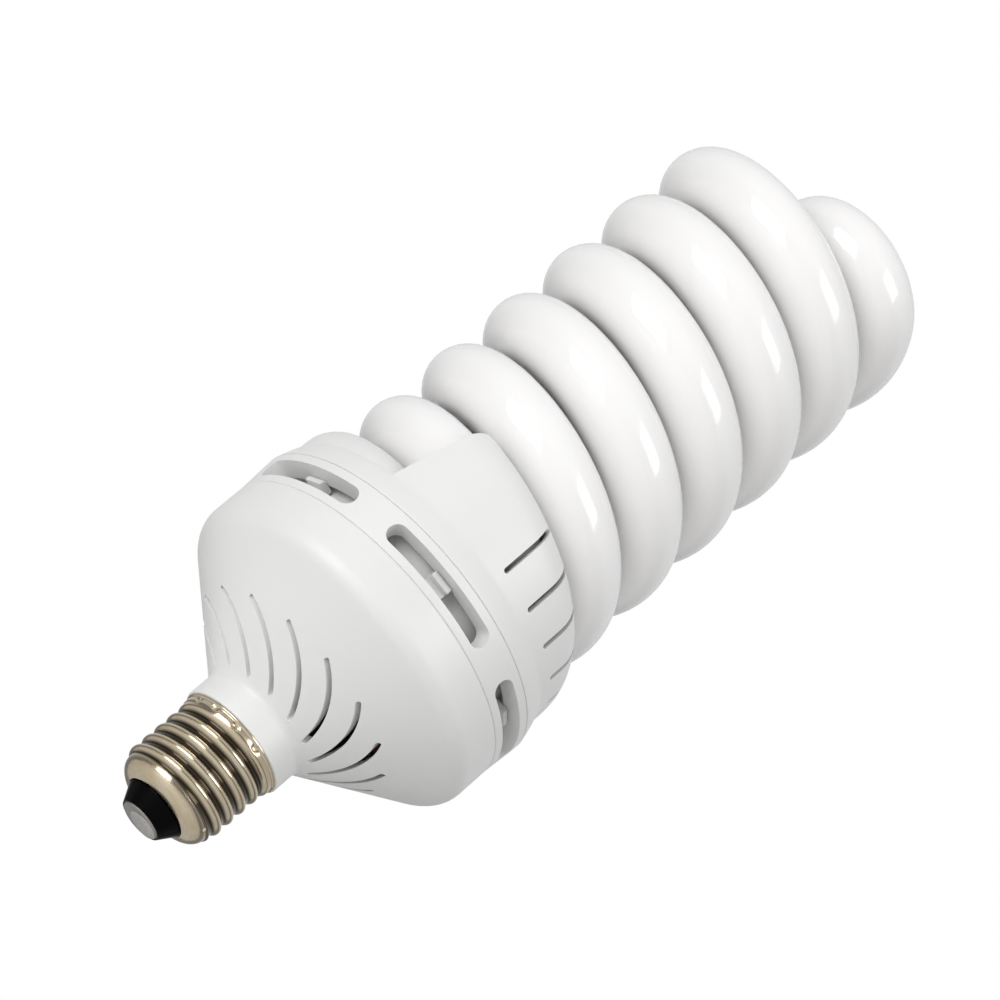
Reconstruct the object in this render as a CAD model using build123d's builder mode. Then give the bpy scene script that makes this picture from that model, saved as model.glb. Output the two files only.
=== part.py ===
from build123d import *
from math import cos, pi, radians, sin, sqrt, tan
import os

# A self-ballasted spiral fluorescent lamp, standing on its screw cap.
# Millimetres. +Z runs from the cap's contact to the far end of the spiral, and the origin
# is the tip of the centre contact. An azimuth is an angle about Z in degrees, counted
# from the front (-Y) towards +X. The lamp repeats itself after half a turn about Z, apart
# from the vents, the cap's thread and what is on the circuit board.

# Screw cap
CONTACT_RADIUS = 5.15
CONTACT_FACE_Z = 0.45
CONTACT_TOP_Z = 1.4
SOLDER_RADIUS = 3.9
SOLDER_FLAT_RADIUS = 2.2
SOLDER_OFFSET = 1.1
INSULATOR_TIP_RADIUS = 5.5
INSULATOR_TIP_Z = 0.8
INSULATOR_RIM_RADIUS = 8.05
INSULATOR_TOP_Z = 9.0
INSULATOR_BORE = 1.2
SHELL_WALL = 0.4
SHELL_MOUTH_RADIUS = 8.1
SHELL_MOUTH_Z = 5.2
NOSE_TOP_Z = 8.6
THREAD_CREST_RADIUS = 13.12
THREAD_TOP_Z = 25.1
SKIRT_STEP = 0.23
RIM_FLARE = 0.35
RIM_Z = 27.8
CAP_FIT = 0.1

# Rear housing
NECK_RADIUS = 11.5
NECK_END_Z = 10.0
HOUSING_WALL = 2.0
COLLAR_RADIUS = 14.1
COLLAR_TOP_Z = 34.7
CONE_ANGLE = 50.6
HOUSING_RADIUS = 41.5
HOUSING_TOP_Z = 67.9
SHOULDER_RADIUS = 5.5
COLLAR_BLEND = 2.5
SLIT_COUNT = 15
SLIT_WIDTH = 1.3
SLIT_INNER_RADIUS = 15.9
SLIT_MIDDLE_RADIUS = 22.0
SLIT_OUTER_RADIUS = 28.2
SLIT_SWEEP = 39.6
SLIT_MIDDLE_SWEEP = 21.7
SLIT_AZIMUTH = -0.3
SEAM_BEVEL = 0.3

# Vent ring
RING_TOP_Z = 77.4
RING_WALL = 4.5
RING_FLARE = 0.6
VENT_COUNT = 6
VENT_WIDTH = 5.1
VENT_LOW_Z = 70.0
VENT_ARC = 46.0
VENT_AZIMUTH = 4.9

# Snap fit between rear housing and vent ring
LIP_FIT = 0.2
LIP_WALL = 2.0
LIP_HEIGHT = 2.0
LIP_WEB_HEIGHT = 2.9
TAB_WIDTH = 5.4
TAB_HOOK_HEIGHT = 1.8
TAB_HOOK_REACH = 2.0

# Circuit board and its seat
BOARD_FIT = 0.3
BOARD_THICKNESS = 1.6
BOARD_Z = 62.0
LEDGE_WIDTH = 2.2
LEDGE_HEIGHT = 2.5
PART_STAND_OFF = 0.2

# Discharge tube: two limbs of one spiral, wound left-handed
TUBE_RADIUS = 9.0
TUBE_WALL_GAP = 1.6
SPIRAL_PITCH = 40.9
LIMB_Z = 95.9
LIMB_START_AZIMUTH = 15.0
LIMB_END_AZIMUTH = -1021.0
BEND_SECTIONS = 5
STEM_RADIUS = 2.2
STEM_LENGTH = 4.0

# Tube holder
HOLDER_WALL = 1.8
HOLDER_INSET = 1.2
HOLDER_TAPER_Z = 83.5
HOLDER_PLATE = 1.0
HOLDER_SHOULDER = 8.5
HOLDER_HUB_RADIUS = 10.0
HOLDER_HUB_Z = 100.0
STEP_AZIMUTH = -30.0
STEP_RISE = 10.0
STEP_WALL_ANGLE = 4.0
TUBE_HOLE_FIT = 0.2
TUBE_PLATE_FIT = 0.4
SPIGOT_WALL = 2.0
SPIGOT_END_Z = 64.0
FLANGE_HEIGHT = 2.0
GILL_COUNT = 6
GILL_SPACING = 15.0
GILL_WIDTH = 1.35
GILL_LOW_Z = 86.5
GILL_DEPTH = 5.5

CEMENT_AZIMUTH = 9.0
CEMENT_ARC = 26.0
CEMENT_WIDTH = 20.0
CEMENT_DEPTH = 12.0

# Smoothing capacitor
CAN_RADIUS = 8.0
CAN_HEIGHT = 29.0
CAN_GROOVE = 0.5
CAN_GROOVE_Z = 2.5

# Ballast choke
CHOKE_SEAT_RADIUS = 17.4
CHOKE_AZIMUTH = -90.0
CORE_WIDTH = 20.0
CORE_HEIGHT = 13.0
CORE_DEPTH = 9.0
CORE_LEG = 6.0
CORE_WINDOW = 3.6
CORE_WINDOW_HEIGHT = 8.0
BOBBIN_WALL = 0.6
WINDING_CORNER = 2.0

# Filter choke
DRUM_SEAT_RADIUS = 20.0
DRUM_AZIMUTH = 125.0
DRUM_RADIUS = 4.5
DRUM_WAIST = 2.2
DRUM_HEIGHT = 11.0
DRUM_FLANGE = 1.6

# Drive transformer
TOROID_SEAT_RADIUS = 20.0
TOROID_AZIMUTH = 0.0
TOROID_RADIUS = 4.8
TOROID_BORE = 2.6
TOROID_HEIGHT = 4.0
COIL_GIRTH = 0.8
COIL_WIDTH = 2.0

# Film capacitors
FILM_SEAT_RADIUS = 21.0
FILM_THICKNESS = 5.0
FILM_WIDTH = 10.0
FILM_HEIGHT = 11.0
FILM_CORNER = 1.8
RESONANT_AZIMUTH = 35.0
COUPLING_AZIMUTH = 75.0
FILTER_AZIMUTH = -35.0

# Power transistors and their heat sink
SINK_SEAT_RADIUS = 21.0
SINK_AZIMUTH = 180.0
SINK_WIDTH = 24.0
SINK_HEIGHT = 14.0
SINK_THICKNESS = 1.5
SINK_FIN = 2.5
TRANSISTOR_SPACING = 11.0
TRANSISTOR_WIDTH = 8.0
TRANSISTOR_THICKNESS = 3.2
TRANSISTOR_HEIGHT = 11.0

# Small parts on the board's top
DIODE_COUNT = 4
DIODE_SEAT_RADIUS = 10.0
DIODE_LENGTH = 5.2
DIODE_RADIUS = 1.35
FUSE_SEAT_RADIUS = 25.0
FUSE_AZIMUTH = 135.0
FUSE_LENGTH = 9.0
FUSE_RADIUS = 1.8
RESISTOR_INSET = 3.5
RESISTOR_AZIMUTHS = (90.0, 225.0, 270.0, 315.0)
RESISTOR_LENGTH = 6.0
RESISTOR_RADIUS = 1.15
THERMISTOR_SEAT_RADIUS = 20.0
THERMISTOR_AZIMUTH = 180.0
THERMISTOR_RADIUS = 4.5
THERMISTOR_THICKNESS = 2.6
POST_RADIUS = 0.5
POST_HEIGHT = 5.0

# Wires
WIRE_RADIUS = 0.45
WIRE_BEND = 1.6
LEAD_SPREAD = 8.0
LEAD_REACH = 3.5
POST_AZIMUTH = 38.0
POST_INSET = 3.0
POST_SPACING = 7.0
SHELL_LEAD_AZIMUTH = 60.0
CONTACT_LEAD_AZIMUTH = -25.0
CONTACT_LEAD_TURN_Z = 24.0


# Sizes worked out from the ones above
skirt_radius = THREAD_CREST_RADIUS + SKIRT_STEP
cone_slope = tan(radians(CONE_ANGLE))
cone_radial_wall = HOUSING_WALL * sqrt(1 + cone_slope**2)
cone_top_z = COLLAR_TOP_Z + (HOUSING_RADIUS - COLLAR_RADIUS) / cone_slope
ring_top_radius = HOUSING_RADIUS + RING_FLARE
ring_inner_radius = HOUSING_RADIUS - RING_WALL
lip_outer_radius = ring_inner_radius - LIP_FIT
lip_inner_radius = lip_outer_radius - LIP_WALL
board_top_z = BOARD_Z + BOARD_THICKNESS
board_radius = lip_inner_radius - BOARD_FIT
spigot_radius = lip_inner_radius - BOARD_FIT
spigot_bore = spigot_radius - SPIGOT_WALL
holder_wall_radius = HOUSING_RADIUS - HOLDER_INSET
spiral_radius = holder_wall_radius - HOLDER_WALL - TUBE_WALL_GAP - TUBE_RADIUS
post_outer_radius = spigot_bore - POST_INSET
post_inner_radius = post_outer_radius - POST_SPACING
resistor_seat_radius = post_inner_radius - RESISTOR_INSET
rise_per_degree = SPIRAL_PITCH / 360
lead_slope = SPIRAL_PITCH / (2 * pi * spiral_radius)
holder_top_z = LIMB_Z - STEP_AZIMUTH * rise_per_degree + TUBE_RADIUS + STEP_RISE


def at(radius, azimuth, z=0.0):
    """The point at a radius and azimuth about the lamp's axis."""
    angle = radians(azimuth)
    return Vector(radius * sin(angle), -radius * cos(angle), z)


def limb_z(azimuth):
    """Height of the first limb's centre line at an azimuth."""
    return LIMB_Z - azimuth * rise_per_degree


def spiral_path(azimuth, turn, lift=0.0):
    """The limb's helix from an azimuth upwards, turned through an angle and lifted."""
    helix = Helix(
        SPIRAL_PITCH,
        turn * rise_per_degree,
        spiral_radius,
        center=(0, 0, limb_z(azimuth) + lift),
        lefthand=True,
        mode=Mode.PRIVATE,
    )
    return helix.rotate(Axis.Z, azimuth - 90)


def path_plane(path):
    """Section plane at a path's start: X points out from the axis and Y upwards."""
    start = path @ 0
    return Plane(origin=start, x_dir=(start.X, start.Y, 0), z_dir=path % 0)


def save(piece, name):
    """Label a finished piece and write it as a STEP file."""
    piece.part.label = name
    export_step(piece.part, f"parts/{name}.step")


os.makedirs("parts", exist_ok=True)


# Centre contact: a turned disc with a rounded edge
with BuildPart() as centre_contact:
    with BuildSketch(Plane.XZ):
        with BuildLine():
            edge_radius = (CONTACT_TOP_Z - CONTACT_FACE_Z) * 0.6
            Line((0, CONTACT_FACE_Z), (CONTACT_RADIUS - edge_radius, CONTACT_FACE_Z))
            RadiusArc(
                (CONTACT_RADIUS - edge_radius, CONTACT_FACE_Z),
                (CONTACT_RADIUS, CONTACT_FACE_Z + edge_radius),
                -edge_radius,
            )
            Polyline(
                (CONTACT_RADIUS, CONTACT_FACE_Z + edge_radius),
                (CONTACT_RADIUS, CONTACT_TOP_Z),
                (0, CONTACT_TOP_Z),
                (0, CONTACT_FACE_Z),
            )
        make_face()
    revolve(axis=Axis.Z)
save(centre_contact, "centre_contact")


# Solder on the contact: a low dome, a little off centre, worn flat where it meets a socket
with BuildPart() as contact_solder:
    with BuildSketch(Plane.XZ):
        with BuildLine():
            Line((0, 0), (SOLDER_FLAT_RADIUS, 0))
            ThreePointArc(
                (SOLDER_FLAT_RADIUS, 0),
                ((SOLDER_FLAT_RADIUS + SOLDER_RADIUS) / 2, CONTACT_FACE_Z * 0.3),
                (SOLDER_RADIUS, CONTACT_FACE_Z),
            )
            Polyline((SOLDER_RADIUS, CONTACT_FACE_Z), (0, CONTACT_FACE_Z), (0, 0))
        make_face()
    revolve(axis=Axis.Z)
    contact_solder.part = contact_solder.part.moved(Location((SOLDER_OFFSET, 0, 0)))
save(contact_solder, "contact_solder")


# Insulator between contact and shell: a cone of black glass with a bore for the lead
with BuildPart() as cap_insulator:
    with BuildSketch(Plane.XZ):
        with BuildLine():
            waist = SHELL_MOUTH_RADIUS - SHELL_WALL - CAP_FIT
            recess = CONTACT_RADIUS + CAP_FIT / 2
            Polyline(
                (INSULATOR_BORE, CONTACT_TOP_Z),
                (recess, CONTACT_TOP_Z),
                (recess, INSULATOR_TIP_Z),
                (INSULATOR_TIP_RADIUS, INSULATOR_TIP_Z),
                (INSULATOR_RIM_RADIUS, SHELL_MOUTH_Z),
                (waist, SHELL_MOUTH_Z),
                (waist, INSULATOR_TOP_Z),
                (INSULATOR_BORE, INSULATOR_TOP_Z),
                close=True,
            )
        make_face()
    revolve(axis=Axis.Z)
save(cap_insulator, "cap_insulator")


def shell_form(inset):
    """The cap's outer form, or its inner one when inset by the wall.

    The nose rounds up to the crests of the rolled thread, which the barrel touches from
    inside. A short skirt with a flared rim ends the shell.
    """
    barrel = THREAD_CREST_RADIUS - inset
    skirt = skirt_radius - inset
    low_z = SHELL_MOUTH_Z + inset
    nose_width = THREAD_CREST_RADIUS - SHELL_MOUTH_RADIUS
    nose_height = NOSE_TOP_Z - SHELL_MOUTH_Z
    with BuildPart() as form:
        with BuildSketch(Plane.XZ):
            with BuildLine():
                Line((0, low_z), (SHELL_MOUTH_RADIUS - inset, low_z))
                ThreePointArc(
                    (SHELL_MOUTH_RADIUS - inset, low_z),
                    (barrel - nose_width * 0.25, low_z + nose_height * 0.36),
                    (barrel, NOSE_TOP_Z),
                )
                Polyline(
                    (barrel, NOSE_TOP_Z),
                    (barrel, THREAD_TOP_Z),
                    (skirt, THREAD_TOP_Z + SKIRT_STEP),
                    (skirt, RIM_Z - 2 * RIM_FLARE),
                    (skirt + RIM_FLARE, RIM_Z - RIM_FLARE),
                    (skirt + RIM_FLARE, RIM_Z),
                    (0, RIM_Z),
                    (0, low_z),
                )
            make_face()
        revolve(axis=Axis.Z)
    return form.part


# Screw shell: pressed from thin plated brass
with BuildPart() as screw_shell:
    add(shell_form(0.0))
    add(shell_form(SHELL_WALL), mode=Mode.SUBTRACT)
    with Locations((0, 0, SHELL_MOUTH_Z)):
        Cylinder(SHELL_MOUTH_RADIUS - SHELL_WALL, 4 * SHELL_WALL, mode=Mode.SUBTRACT)
save(screw_shell, "screw_shell")


def slit_arc():
    """Plan of one curved slit's middle line, from its inner end to its outer end."""
    return ThreePointArc(
        at(SLIT_INNER_RADIUS, SLIT_AZIMUTH + SLIT_SWEEP),
        at(SLIT_MIDDLE_RADIUS, SLIT_AZIMUTH + SLIT_MIDDLE_SWEEP),
        at(SLIT_OUTER_RADIUS, SLIT_AZIMUTH),
        mode=Mode.PRIVATE,
    )


# Rear housing: collar, cone and cylinder in one moulding, with its neck inside the shell
with BuildPart() as rear_housing:
    with BuildSketch(Plane.XZ):
        collar_z = RIM_Z + CAP_FIT / 2
        inner_radius = HOUSING_RADIUS - HOUSING_WALL
        neck_bore = NECK_RADIUS - HOUSING_WALL
        inner_cone_low_z = COLLAR_TOP_Z + (neck_bore + cone_radial_wall - COLLAR_RADIUS) / cone_slope
        inner_cone_top_z = cone_top_z + cone_radial_wall / cone_slope - HOUSING_WALL / cone_slope
        with BuildSketch(Plane.XZ, mode=Mode.PRIVATE) as outside:
            with BuildLine():
                Polyline(
                    (0, NECK_END_Z),
                    (NECK_RADIUS, NECK_END_Z),
                    (NECK_RADIUS, collar_z),
                    (COLLAR_RADIUS, collar_z),
                    (COLLAR_RADIUS, COLLAR_TOP_Z),
                    (HOUSING_RADIUS, cone_top_z),
                    (HOUSING_RADIUS, HOUSING_TOP_Z),
                    (0, HOUSING_TOP_Z),
                    close=True,
                )
            make_face()
            wall_corners = outside.vertices().group_by(Axis.X)[-1].sort_by(Axis.Y)
            collar_corner = outside.vertices().filter_by_position(
                Axis.Y, COLLAR_TOP_Z - 0.1, COLLAR_TOP_Z + 0.1
            )
            fillet(wall_corners[0], SHOULDER_RADIUS)
            fillet(collar_corner, COLLAR_BLEND)
            chamfer(wall_corners[-1], SEAM_BEVEL)
        with BuildSketch(Plane.XZ, mode=Mode.PRIVATE) as inside:
            with BuildLine():
                Polyline(
                    (0, NECK_END_Z),
                    (neck_bore, NECK_END_Z),
                    (neck_bore, inner_cone_low_z),
                    (inner_radius, inner_cone_top_z),
                    (inner_radius, HOUSING_TOP_Z),
                    (0, HOUSING_TOP_Z),
                    close=True,
                )
            make_face()
            corner = inside.vertices().group_by(Axis.X)[-1].sort_by(Axis.Y)[0]
            fillet(corner, SHOULDER_RADIUS - HOUSING_WALL)
        add(outside.sketch)
        add(inside.sketch, mode=Mode.SUBTRACT)
    revolve(axis=Axis.Z)
    # The lip that centres the vent ring, its web to the wall, and the board's ledge
    with BuildSketch(Plane.XZ):
        with BuildLine():
            ledge_low_z = BOARD_Z - LEDGE_HEIGHT
            web_low_z = HOUSING_TOP_Z - LIP_WEB_HEIGHT
            Polyline(
                (lip_inner_radius - LEDGE_WIDTH, ledge_low_z),
                (lip_outer_radius, ledge_low_z),
                (lip_outer_radius, web_low_z),
                (inner_radius + HOUSING_WALL / 2, web_low_z),
                (inner_radius + HOUSING_WALL / 2, HOUSING_TOP_Z),
                (lip_outer_radius, HOUSING_TOP_Z),
                (lip_outer_radius, HOUSING_TOP_Z + LIP_HEIGHT),
                (lip_inner_radius, HOUSING_TOP_Z + LIP_HEIGHT),
                (lip_inner_radius, BOARD_Z),
                (lip_inner_radius - LEDGE_WIDTH, BOARD_Z),
                close=True,
            )
        make_face()
    revolve(axis=Axis.Z)
    # Snap tabs, whose hooks hold the vent ring by the far walls of its vents
    vent_high_z = VENT_LOW_Z + VENT_WIDTH
    tab_low_z = HOUSING_TOP_Z + LIP_HEIGHT / 2
    tab_height = vent_high_z + LIP_FIT - tab_low_z
    tab_thickness = LIP_WALL * 0.9
    for index in range(VENT_COUNT):
        turn = VENT_AZIMUTH + index * 360 / VENT_COUNT
        stem_at = Plane(
            origin=at(lip_outer_radius - LIP_WALL / 2, turn, tab_low_z),
            x_dir=at(1, turn),
            z_dir=(0, 0, 1),
        )
        with BuildSketch(stem_at):
            Rectangle(tab_thickness, TAB_WIDTH)
        extrude(amount=tab_height)
        hook_at = Plane(
            origin=at(lip_outer_radius, turn, vent_high_z - LIP_FIT / 2),
            x_dir=at(1, turn),
            z_dir=(0, 0, 1),
        )
        with BuildSketch(hook_at):
            with Locations((TAB_HOOK_REACH / 2 - LIP_WALL / 4, 0)):
                Rectangle(TAB_HOOK_REACH + LIP_WALL / 2, TAB_WIDTH)
        extrude(amount=-TAB_HOOK_HEIGHT)
    # Curved slits, cut straight down through the cone
    slit_low_z = COLLAR_TOP_Z - HOUSING_WALL
    with BuildSketch(Plane.XY.offset(slit_low_z)) as slits:
        with PolarLocations(0, SLIT_COUNT):
            SlotArc(slit_arc(), SLIT_WIDTH)
    extrude(amount=cone_top_z - slit_low_z, mode=Mode.SUBTRACT)
save(rear_housing, "rear_housing")


# Vent ring: a thick band with round-ended vents
with BuildPart() as vent_ring:
    with BuildSketch(Plane.XZ):
        with BuildLine():
            Polyline(
                (ring_inner_radius, HOUSING_TOP_Z),
                (HOUSING_RADIUS, HOUSING_TOP_Z),
                (ring_top_radius, RING_TOP_Z),
                (ring_inner_radius, RING_TOP_Z),
                close=True,
            )
        make_face()
        chamfer(vertices().group_by(Axis.X)[1:], SEAM_BEVEL)
    revolve(axis=Axis.Z)
    vent_middle_z = VENT_LOW_Z + VENT_WIDTH / 2
    end_angle = VENT_ARC / 2 - VENT_WIDTH / 2 / radians(HOUSING_RADIUS)
    for index in range(VENT_COUNT):
        turn = VENT_AZIMUTH + index * 360 / VENT_COUNT
        vent_start = Plane(
            origin=(0, 0, vent_middle_z),
            x_dir=at(1, turn - end_angle),
            z_dir=at(1, turn - end_angle).cross(Vector(0, 0, 1)),
        )
        with BuildSketch(vent_start):
            with Locations((HOUSING_RADIUS, 0)):
                Rectangle(3 * RING_WALL, VENT_WIDTH)
        revolve(axis=Axis.Z, revolution_arc=2 * end_angle, mode=Mode.SUBTRACT)
        for side in (-1, 1):
            end_turn = turn + side * end_angle
            vent_end = Plane(
                origin=at(ring_inner_radius - 1, end_turn, vent_middle_z),
                z_dir=at(1, end_turn),
            )
            with BuildSketch(vent_end):
                Circle(VENT_WIDTH / 2)
            extrude(amount=2 * RING_WALL, mode=Mode.SUBTRACT)
save(vent_ring, "vent_ring")


# Discharge tube: two wound limbs joined by an S-shaped crossing, closed at both ends
def bend_frame(limb_end, limb_tangent, share):
    """Point and direction on the half crossing, a rising half circle to the axis.

    In plan it is a half circle whose diameter is the spiral's radius, tangent to the
    limb. Its slope falls from the limb's own slope to nothing at the axis.
    """
    outward = Vector(limb_end.X, limb_end.Y, 0).normalized()
    onward = Vector(limb_tangent.X, limb_tangent.Y, 0).normalized()
    turn = pi * share
    half = spiral_radius / 2
    rise = lead_slope * pi * half * 2 / 3
    point = (
        outward * (half * (1 + cos(turn)))
        + onward * (half * sin(turn))
        + Vector(0, 0, limb_end.Z + rise * (3 * share - share**3) / 2)
    )
    direction = (
        onward * (half * pi * cos(turn))
        - outward * (half * pi * sin(turn))
        + Vector(0, 0, rise * (3 - 3 * share**2) / 2)
    )
    return point, direction.normalized()


with BuildPart() as half_tube:
    limb = spiral_path(LIMB_START_AZIMUTH, LIMB_START_AZIMUTH - LIMB_END_AZIMUTH)
    with BuildSketch(path_plane(limb)):
        Circle(TUBE_RADIUS)
    sweep(path=limb)
    for index in range(BEND_SECTIONS + 1):
        centre, direction = bend_frame(limb @ 1, limb % 1, index / BEND_SECTIONS)
        with BuildSketch(Plane(origin=centre, x_dir=(0, 0, 1), z_dir=direction)):
            Circle(TUBE_RADIUS)
    loft()
    with Locations(path_plane(limb)):
        Sphere(TUBE_RADIUS, arc_size1=-90, arc_size2=0, align=(Align.CENTER, Align.CENTER, Align.MAX))
    with BuildSketch(path_plane(limb)):
        Circle(STEM_RADIUS)
    extrude(amount=-TUBE_RADIUS - STEM_LENGTH)

with BuildPart() as discharge_tube:
    add(half_tube.part)
    add(half_tube.part.rotate(Axis.Z, 180))
save(discharge_tube, "discharge_tube")


# Tube holder: a stepped cap whose two ramps run just above the limbs' buried ends
def above_ramps(hub_radius, wall_radius, shoulder, drop, overlap):
    """All that lies above the two ramps: a section swept up the spiral, twice.

    The section's lower edge is the ramp, and its lower outer corner is the shoulder.
    """
    lift = TUBE_RADIUS + TUBE_PLATE_FIT + HOLDER_PLATE - drop
    reach = 2 * HOLDER_SHOULDER
    height = SPIRAL_PITCH
    with BuildPart() as cutter:
        ramp = spiral_path(STEP_AZIMUTH + 180 + overlap, 180 + 2 * overlap, lift)
        with BuildSketch(path_plane(ramp)):
            with BuildLine():
                inner = hub_radius - spiral_radius
                wall = wall_radius - spiral_radius
                Line((inner, 0), (wall - shoulder, 0))
                RadiusArc((wall - shoulder, 0), (wall, -shoulder), shoulder)
                Polyline(
                    (wall, -shoulder),
                    (wall + reach, -shoulder),
                    (wall + reach, height),
                    (inner, height),
                    (inner, 0),
                )
            make_face()
        sweep(path=ramp, is_frenet=True)
        add(cutter.part.rotate(Axis.Z, 180))
    return cutter.part


with BuildPart() as holder_cavity:
    with BuildSketch(Plane.XZ):
        with BuildLine():
            cavity_radius = holder_wall_radius - HOLDER_WALL
            hub_cavity_z = HOLDER_HUB_Z - HOLDER_WALL
            Polyline(
                (0, SPIGOT_END_Z - 1),
                (spigot_bore, SPIGOT_END_Z - 1),
                (spigot_bore, RING_TOP_Z + FLANGE_HEIGHT),
                (cavity_radius, RING_TOP_Z + FLANGE_HEIGHT),
                (cavity_radius, holder_top_z),
                (HOLDER_HUB_RADIUS + HOLDER_WALL, holder_top_z),
                (HOLDER_HUB_RADIUS + HOLDER_WALL, hub_cavity_z),
                (0, hub_cavity_z),
                close=True,
            )
        make_face()
    revolve(axis=Axis.Z)
    add(
        above_ramps(
            HOLDER_HUB_RADIUS - HOLDER_WALL,
            holder_wall_radius - HOLDER_WALL,
            HOLDER_SHOULDER - HOLDER_WALL,
            HOLDER_PLATE,
            STEP_WALL_ANGLE,
        ),
        mode=Mode.SUBTRACT,
    )

with BuildPart() as tube_holder:
    with BuildSketch(Plane.XZ):
        with BuildLine():
            Polyline(
                (0, SPIGOT_END_Z),
                (spigot_radius, SPIGOT_END_Z),
                (spigot_radius, RING_TOP_Z),
                (ring_top_radius - SEAM_BEVEL, RING_TOP_Z),
                (ring_top_radius, RING_TOP_Z + SEAM_BEVEL),
            )
            ThreePointArc(
                (ring_top_radius, RING_TOP_Z + SEAM_BEVEL),
                (holder_wall_radius * 0.4 + ring_top_radius * 0.6, (RING_TOP_Z + HOLDER_TAPER_Z) / 2),
                (holder_wall_radius, HOLDER_TAPER_Z),
            )
            Polyline(
                (holder_wall_radius, HOLDER_TAPER_Z),
                (holder_wall_radius, holder_top_z),
                (HOLDER_HUB_RADIUS, holder_top_z),
                (HOLDER_HUB_RADIUS, HOLDER_HUB_Z),
                (0, HOLDER_HUB_Z),
                (0, SPIGOT_END_Z),
            )
        make_face()
    revolve(axis=Axis.Z)
    ramps = above_ramps(HOLDER_HUB_RADIUS, holder_wall_radius, HOLDER_SHOULDER, 0, 0)
    add(ramps, mode=Mode.SUBTRACT)
    add(holder_cavity.part, mode=Mode.SUBTRACT)
    # Round holes in the step walls, where the limbs come out
    hole_reach = 3 * STEP_WALL_ANGLE
    hole_path = spiral_path(STEP_AZIMUTH + hole_reach, 2 * hole_reach)
    with BuildPart(mode=Mode.PRIVATE) as hole:
        with BuildSketch(path_plane(hole_path)):
            Circle(TUBE_RADIUS + TUBE_HOLE_FIT)
        sweep(path=hole_path)
    add(hole.part, mode=Mode.SUBTRACT)
    add(hole.part.rotate(Axis.Z, 180), mode=Mode.SUBTRACT)
    # Gills: upright slits through the wall and over the shoulder
    gill_height = holder_top_z - GILL_LOW_Z
    for sector in (0, 180):
        for index in range(1, GILL_COUNT + 1):
            turn = sector + index * GILL_SPACING
            gill_at = Plane(
                origin=at(holder_wall_radius, turn, GILL_LOW_Z),
                x_dir=at(1, turn),
                z_dir=(0, 0, 1),
            )
            with BuildSketch(gill_at):
                Rectangle(2 * GILL_DEPTH, GILL_WIDTH)
            extrude(amount=gill_height, mode=Mode.SUBTRACT)
save(tube_holder, "tube_holder")


# Cement round each limb's buried end: a block swept along the limb, open above it
with BuildPart() as tube_cement:
    for sector in (0, 180):
        bed = spiral_path(CEMENT_AZIMUTH, CEMENT_ARC)
        with BuildPart(mode=Mode.PRIVATE) as block:
            with BuildSketch(path_plane(bed)):
                with Locations((0, -CEMENT_DEPTH / 2)):
                    Rectangle(CEMENT_WIDTH, CEMENT_DEPTH)
            sweep(path=bed, is_frenet=True)
            bore_path = spiral_path(CEMENT_AZIMUTH + hole_reach, CEMENT_ARC + 2 * hole_reach)
            with BuildSketch(path_plane(bore_path)):
                Circle(TUBE_RADIUS + CAP_FIT)
            sweep(path=bore_path, mode=Mode.SUBTRACT)
        add(block.part.rotate(Axis.Z, sector))
save(tube_cement, "tube_cement")


# Circuit board, on the ledge inside the rear housing
with BuildPart() as circuit_board:
    with BuildSketch(Plane.XY.offset(BOARD_Z)):
        Circle(board_radius)
    extrude(amount=BOARD_THICKNESS)
save(circuit_board, "circuit_board")


def under_board(radius, azimuth):
    """A plane on the board's underside, facing the cap, with X pointing outwards."""
    return Plane(
        origin=at(radius, azimuth, BOARD_Z - PART_STAND_OFF),
        x_dir=at(1, azimuth),
        z_dir=(0, 0, -1),
    )


def on_board(radius, azimuth):
    """A plane on the board's top, facing the spiral, with X pointing outwards."""
    return Plane(
        origin=at(radius, azimuth, board_top_z + PART_STAND_OFF),
        x_dir=at(1, azimuth),
        z_dir=(0, 0, 1),
    )


# Smoothing capacitor: a can with a rolled groove, hanging into the cap's neck
with BuildPart() as bulk_capacitor:
    with BuildSketch(Plane.XZ):
        with BuildLine():
            can_top_z = BOARD_Z - PART_STAND_OFF
            groove_z = can_top_z - CAN_GROOVE_Z
            Polyline(
                (0, can_top_z - CAN_HEIGHT),
                (CAN_RADIUS, can_top_z - CAN_HEIGHT),
                (CAN_RADIUS, groove_z - CAN_GROOVE),
                (CAN_RADIUS - CAN_GROOVE, groove_z),
                (CAN_RADIUS, groove_z + CAN_GROOVE),
                (CAN_RADIUS, can_top_z),
                (0, can_top_z),
                close=True,
            )
        make_face()
    revolve(axis=Axis.Z)
save(bulk_capacitor, "bulk_capacitor")


# Ballast choke: an E core, the bobbin on its middle leg and the winding on the bobbin
choke = under_board(CHOKE_SEAT_RADIUS, CHOKE_AZIMUTH)
core_middle = choke.offset(CORE_HEIGHT / 2)
core_section = Plane(origin=core_middle.origin, x_dir=choke.y_dir, z_dir=choke.x_dir)
leg_reach = CORE_LEG / 2 + CORE_WINDOW / 2
with BuildPart() as ballast_core:
    with BuildSketch(core_section):
        Rectangle(CORE_WIDTH, CORE_HEIGHT)
        with Locations((leg_reach, 0), (-leg_reach, 0)):
            Rectangle(CORE_WINDOW, CORE_WINDOW_HEIGHT, mode=Mode.SUBTRACT)
    extrude(amount=CORE_DEPTH / 2, both=True)
save(ballast_core, "ballast_core")

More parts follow.
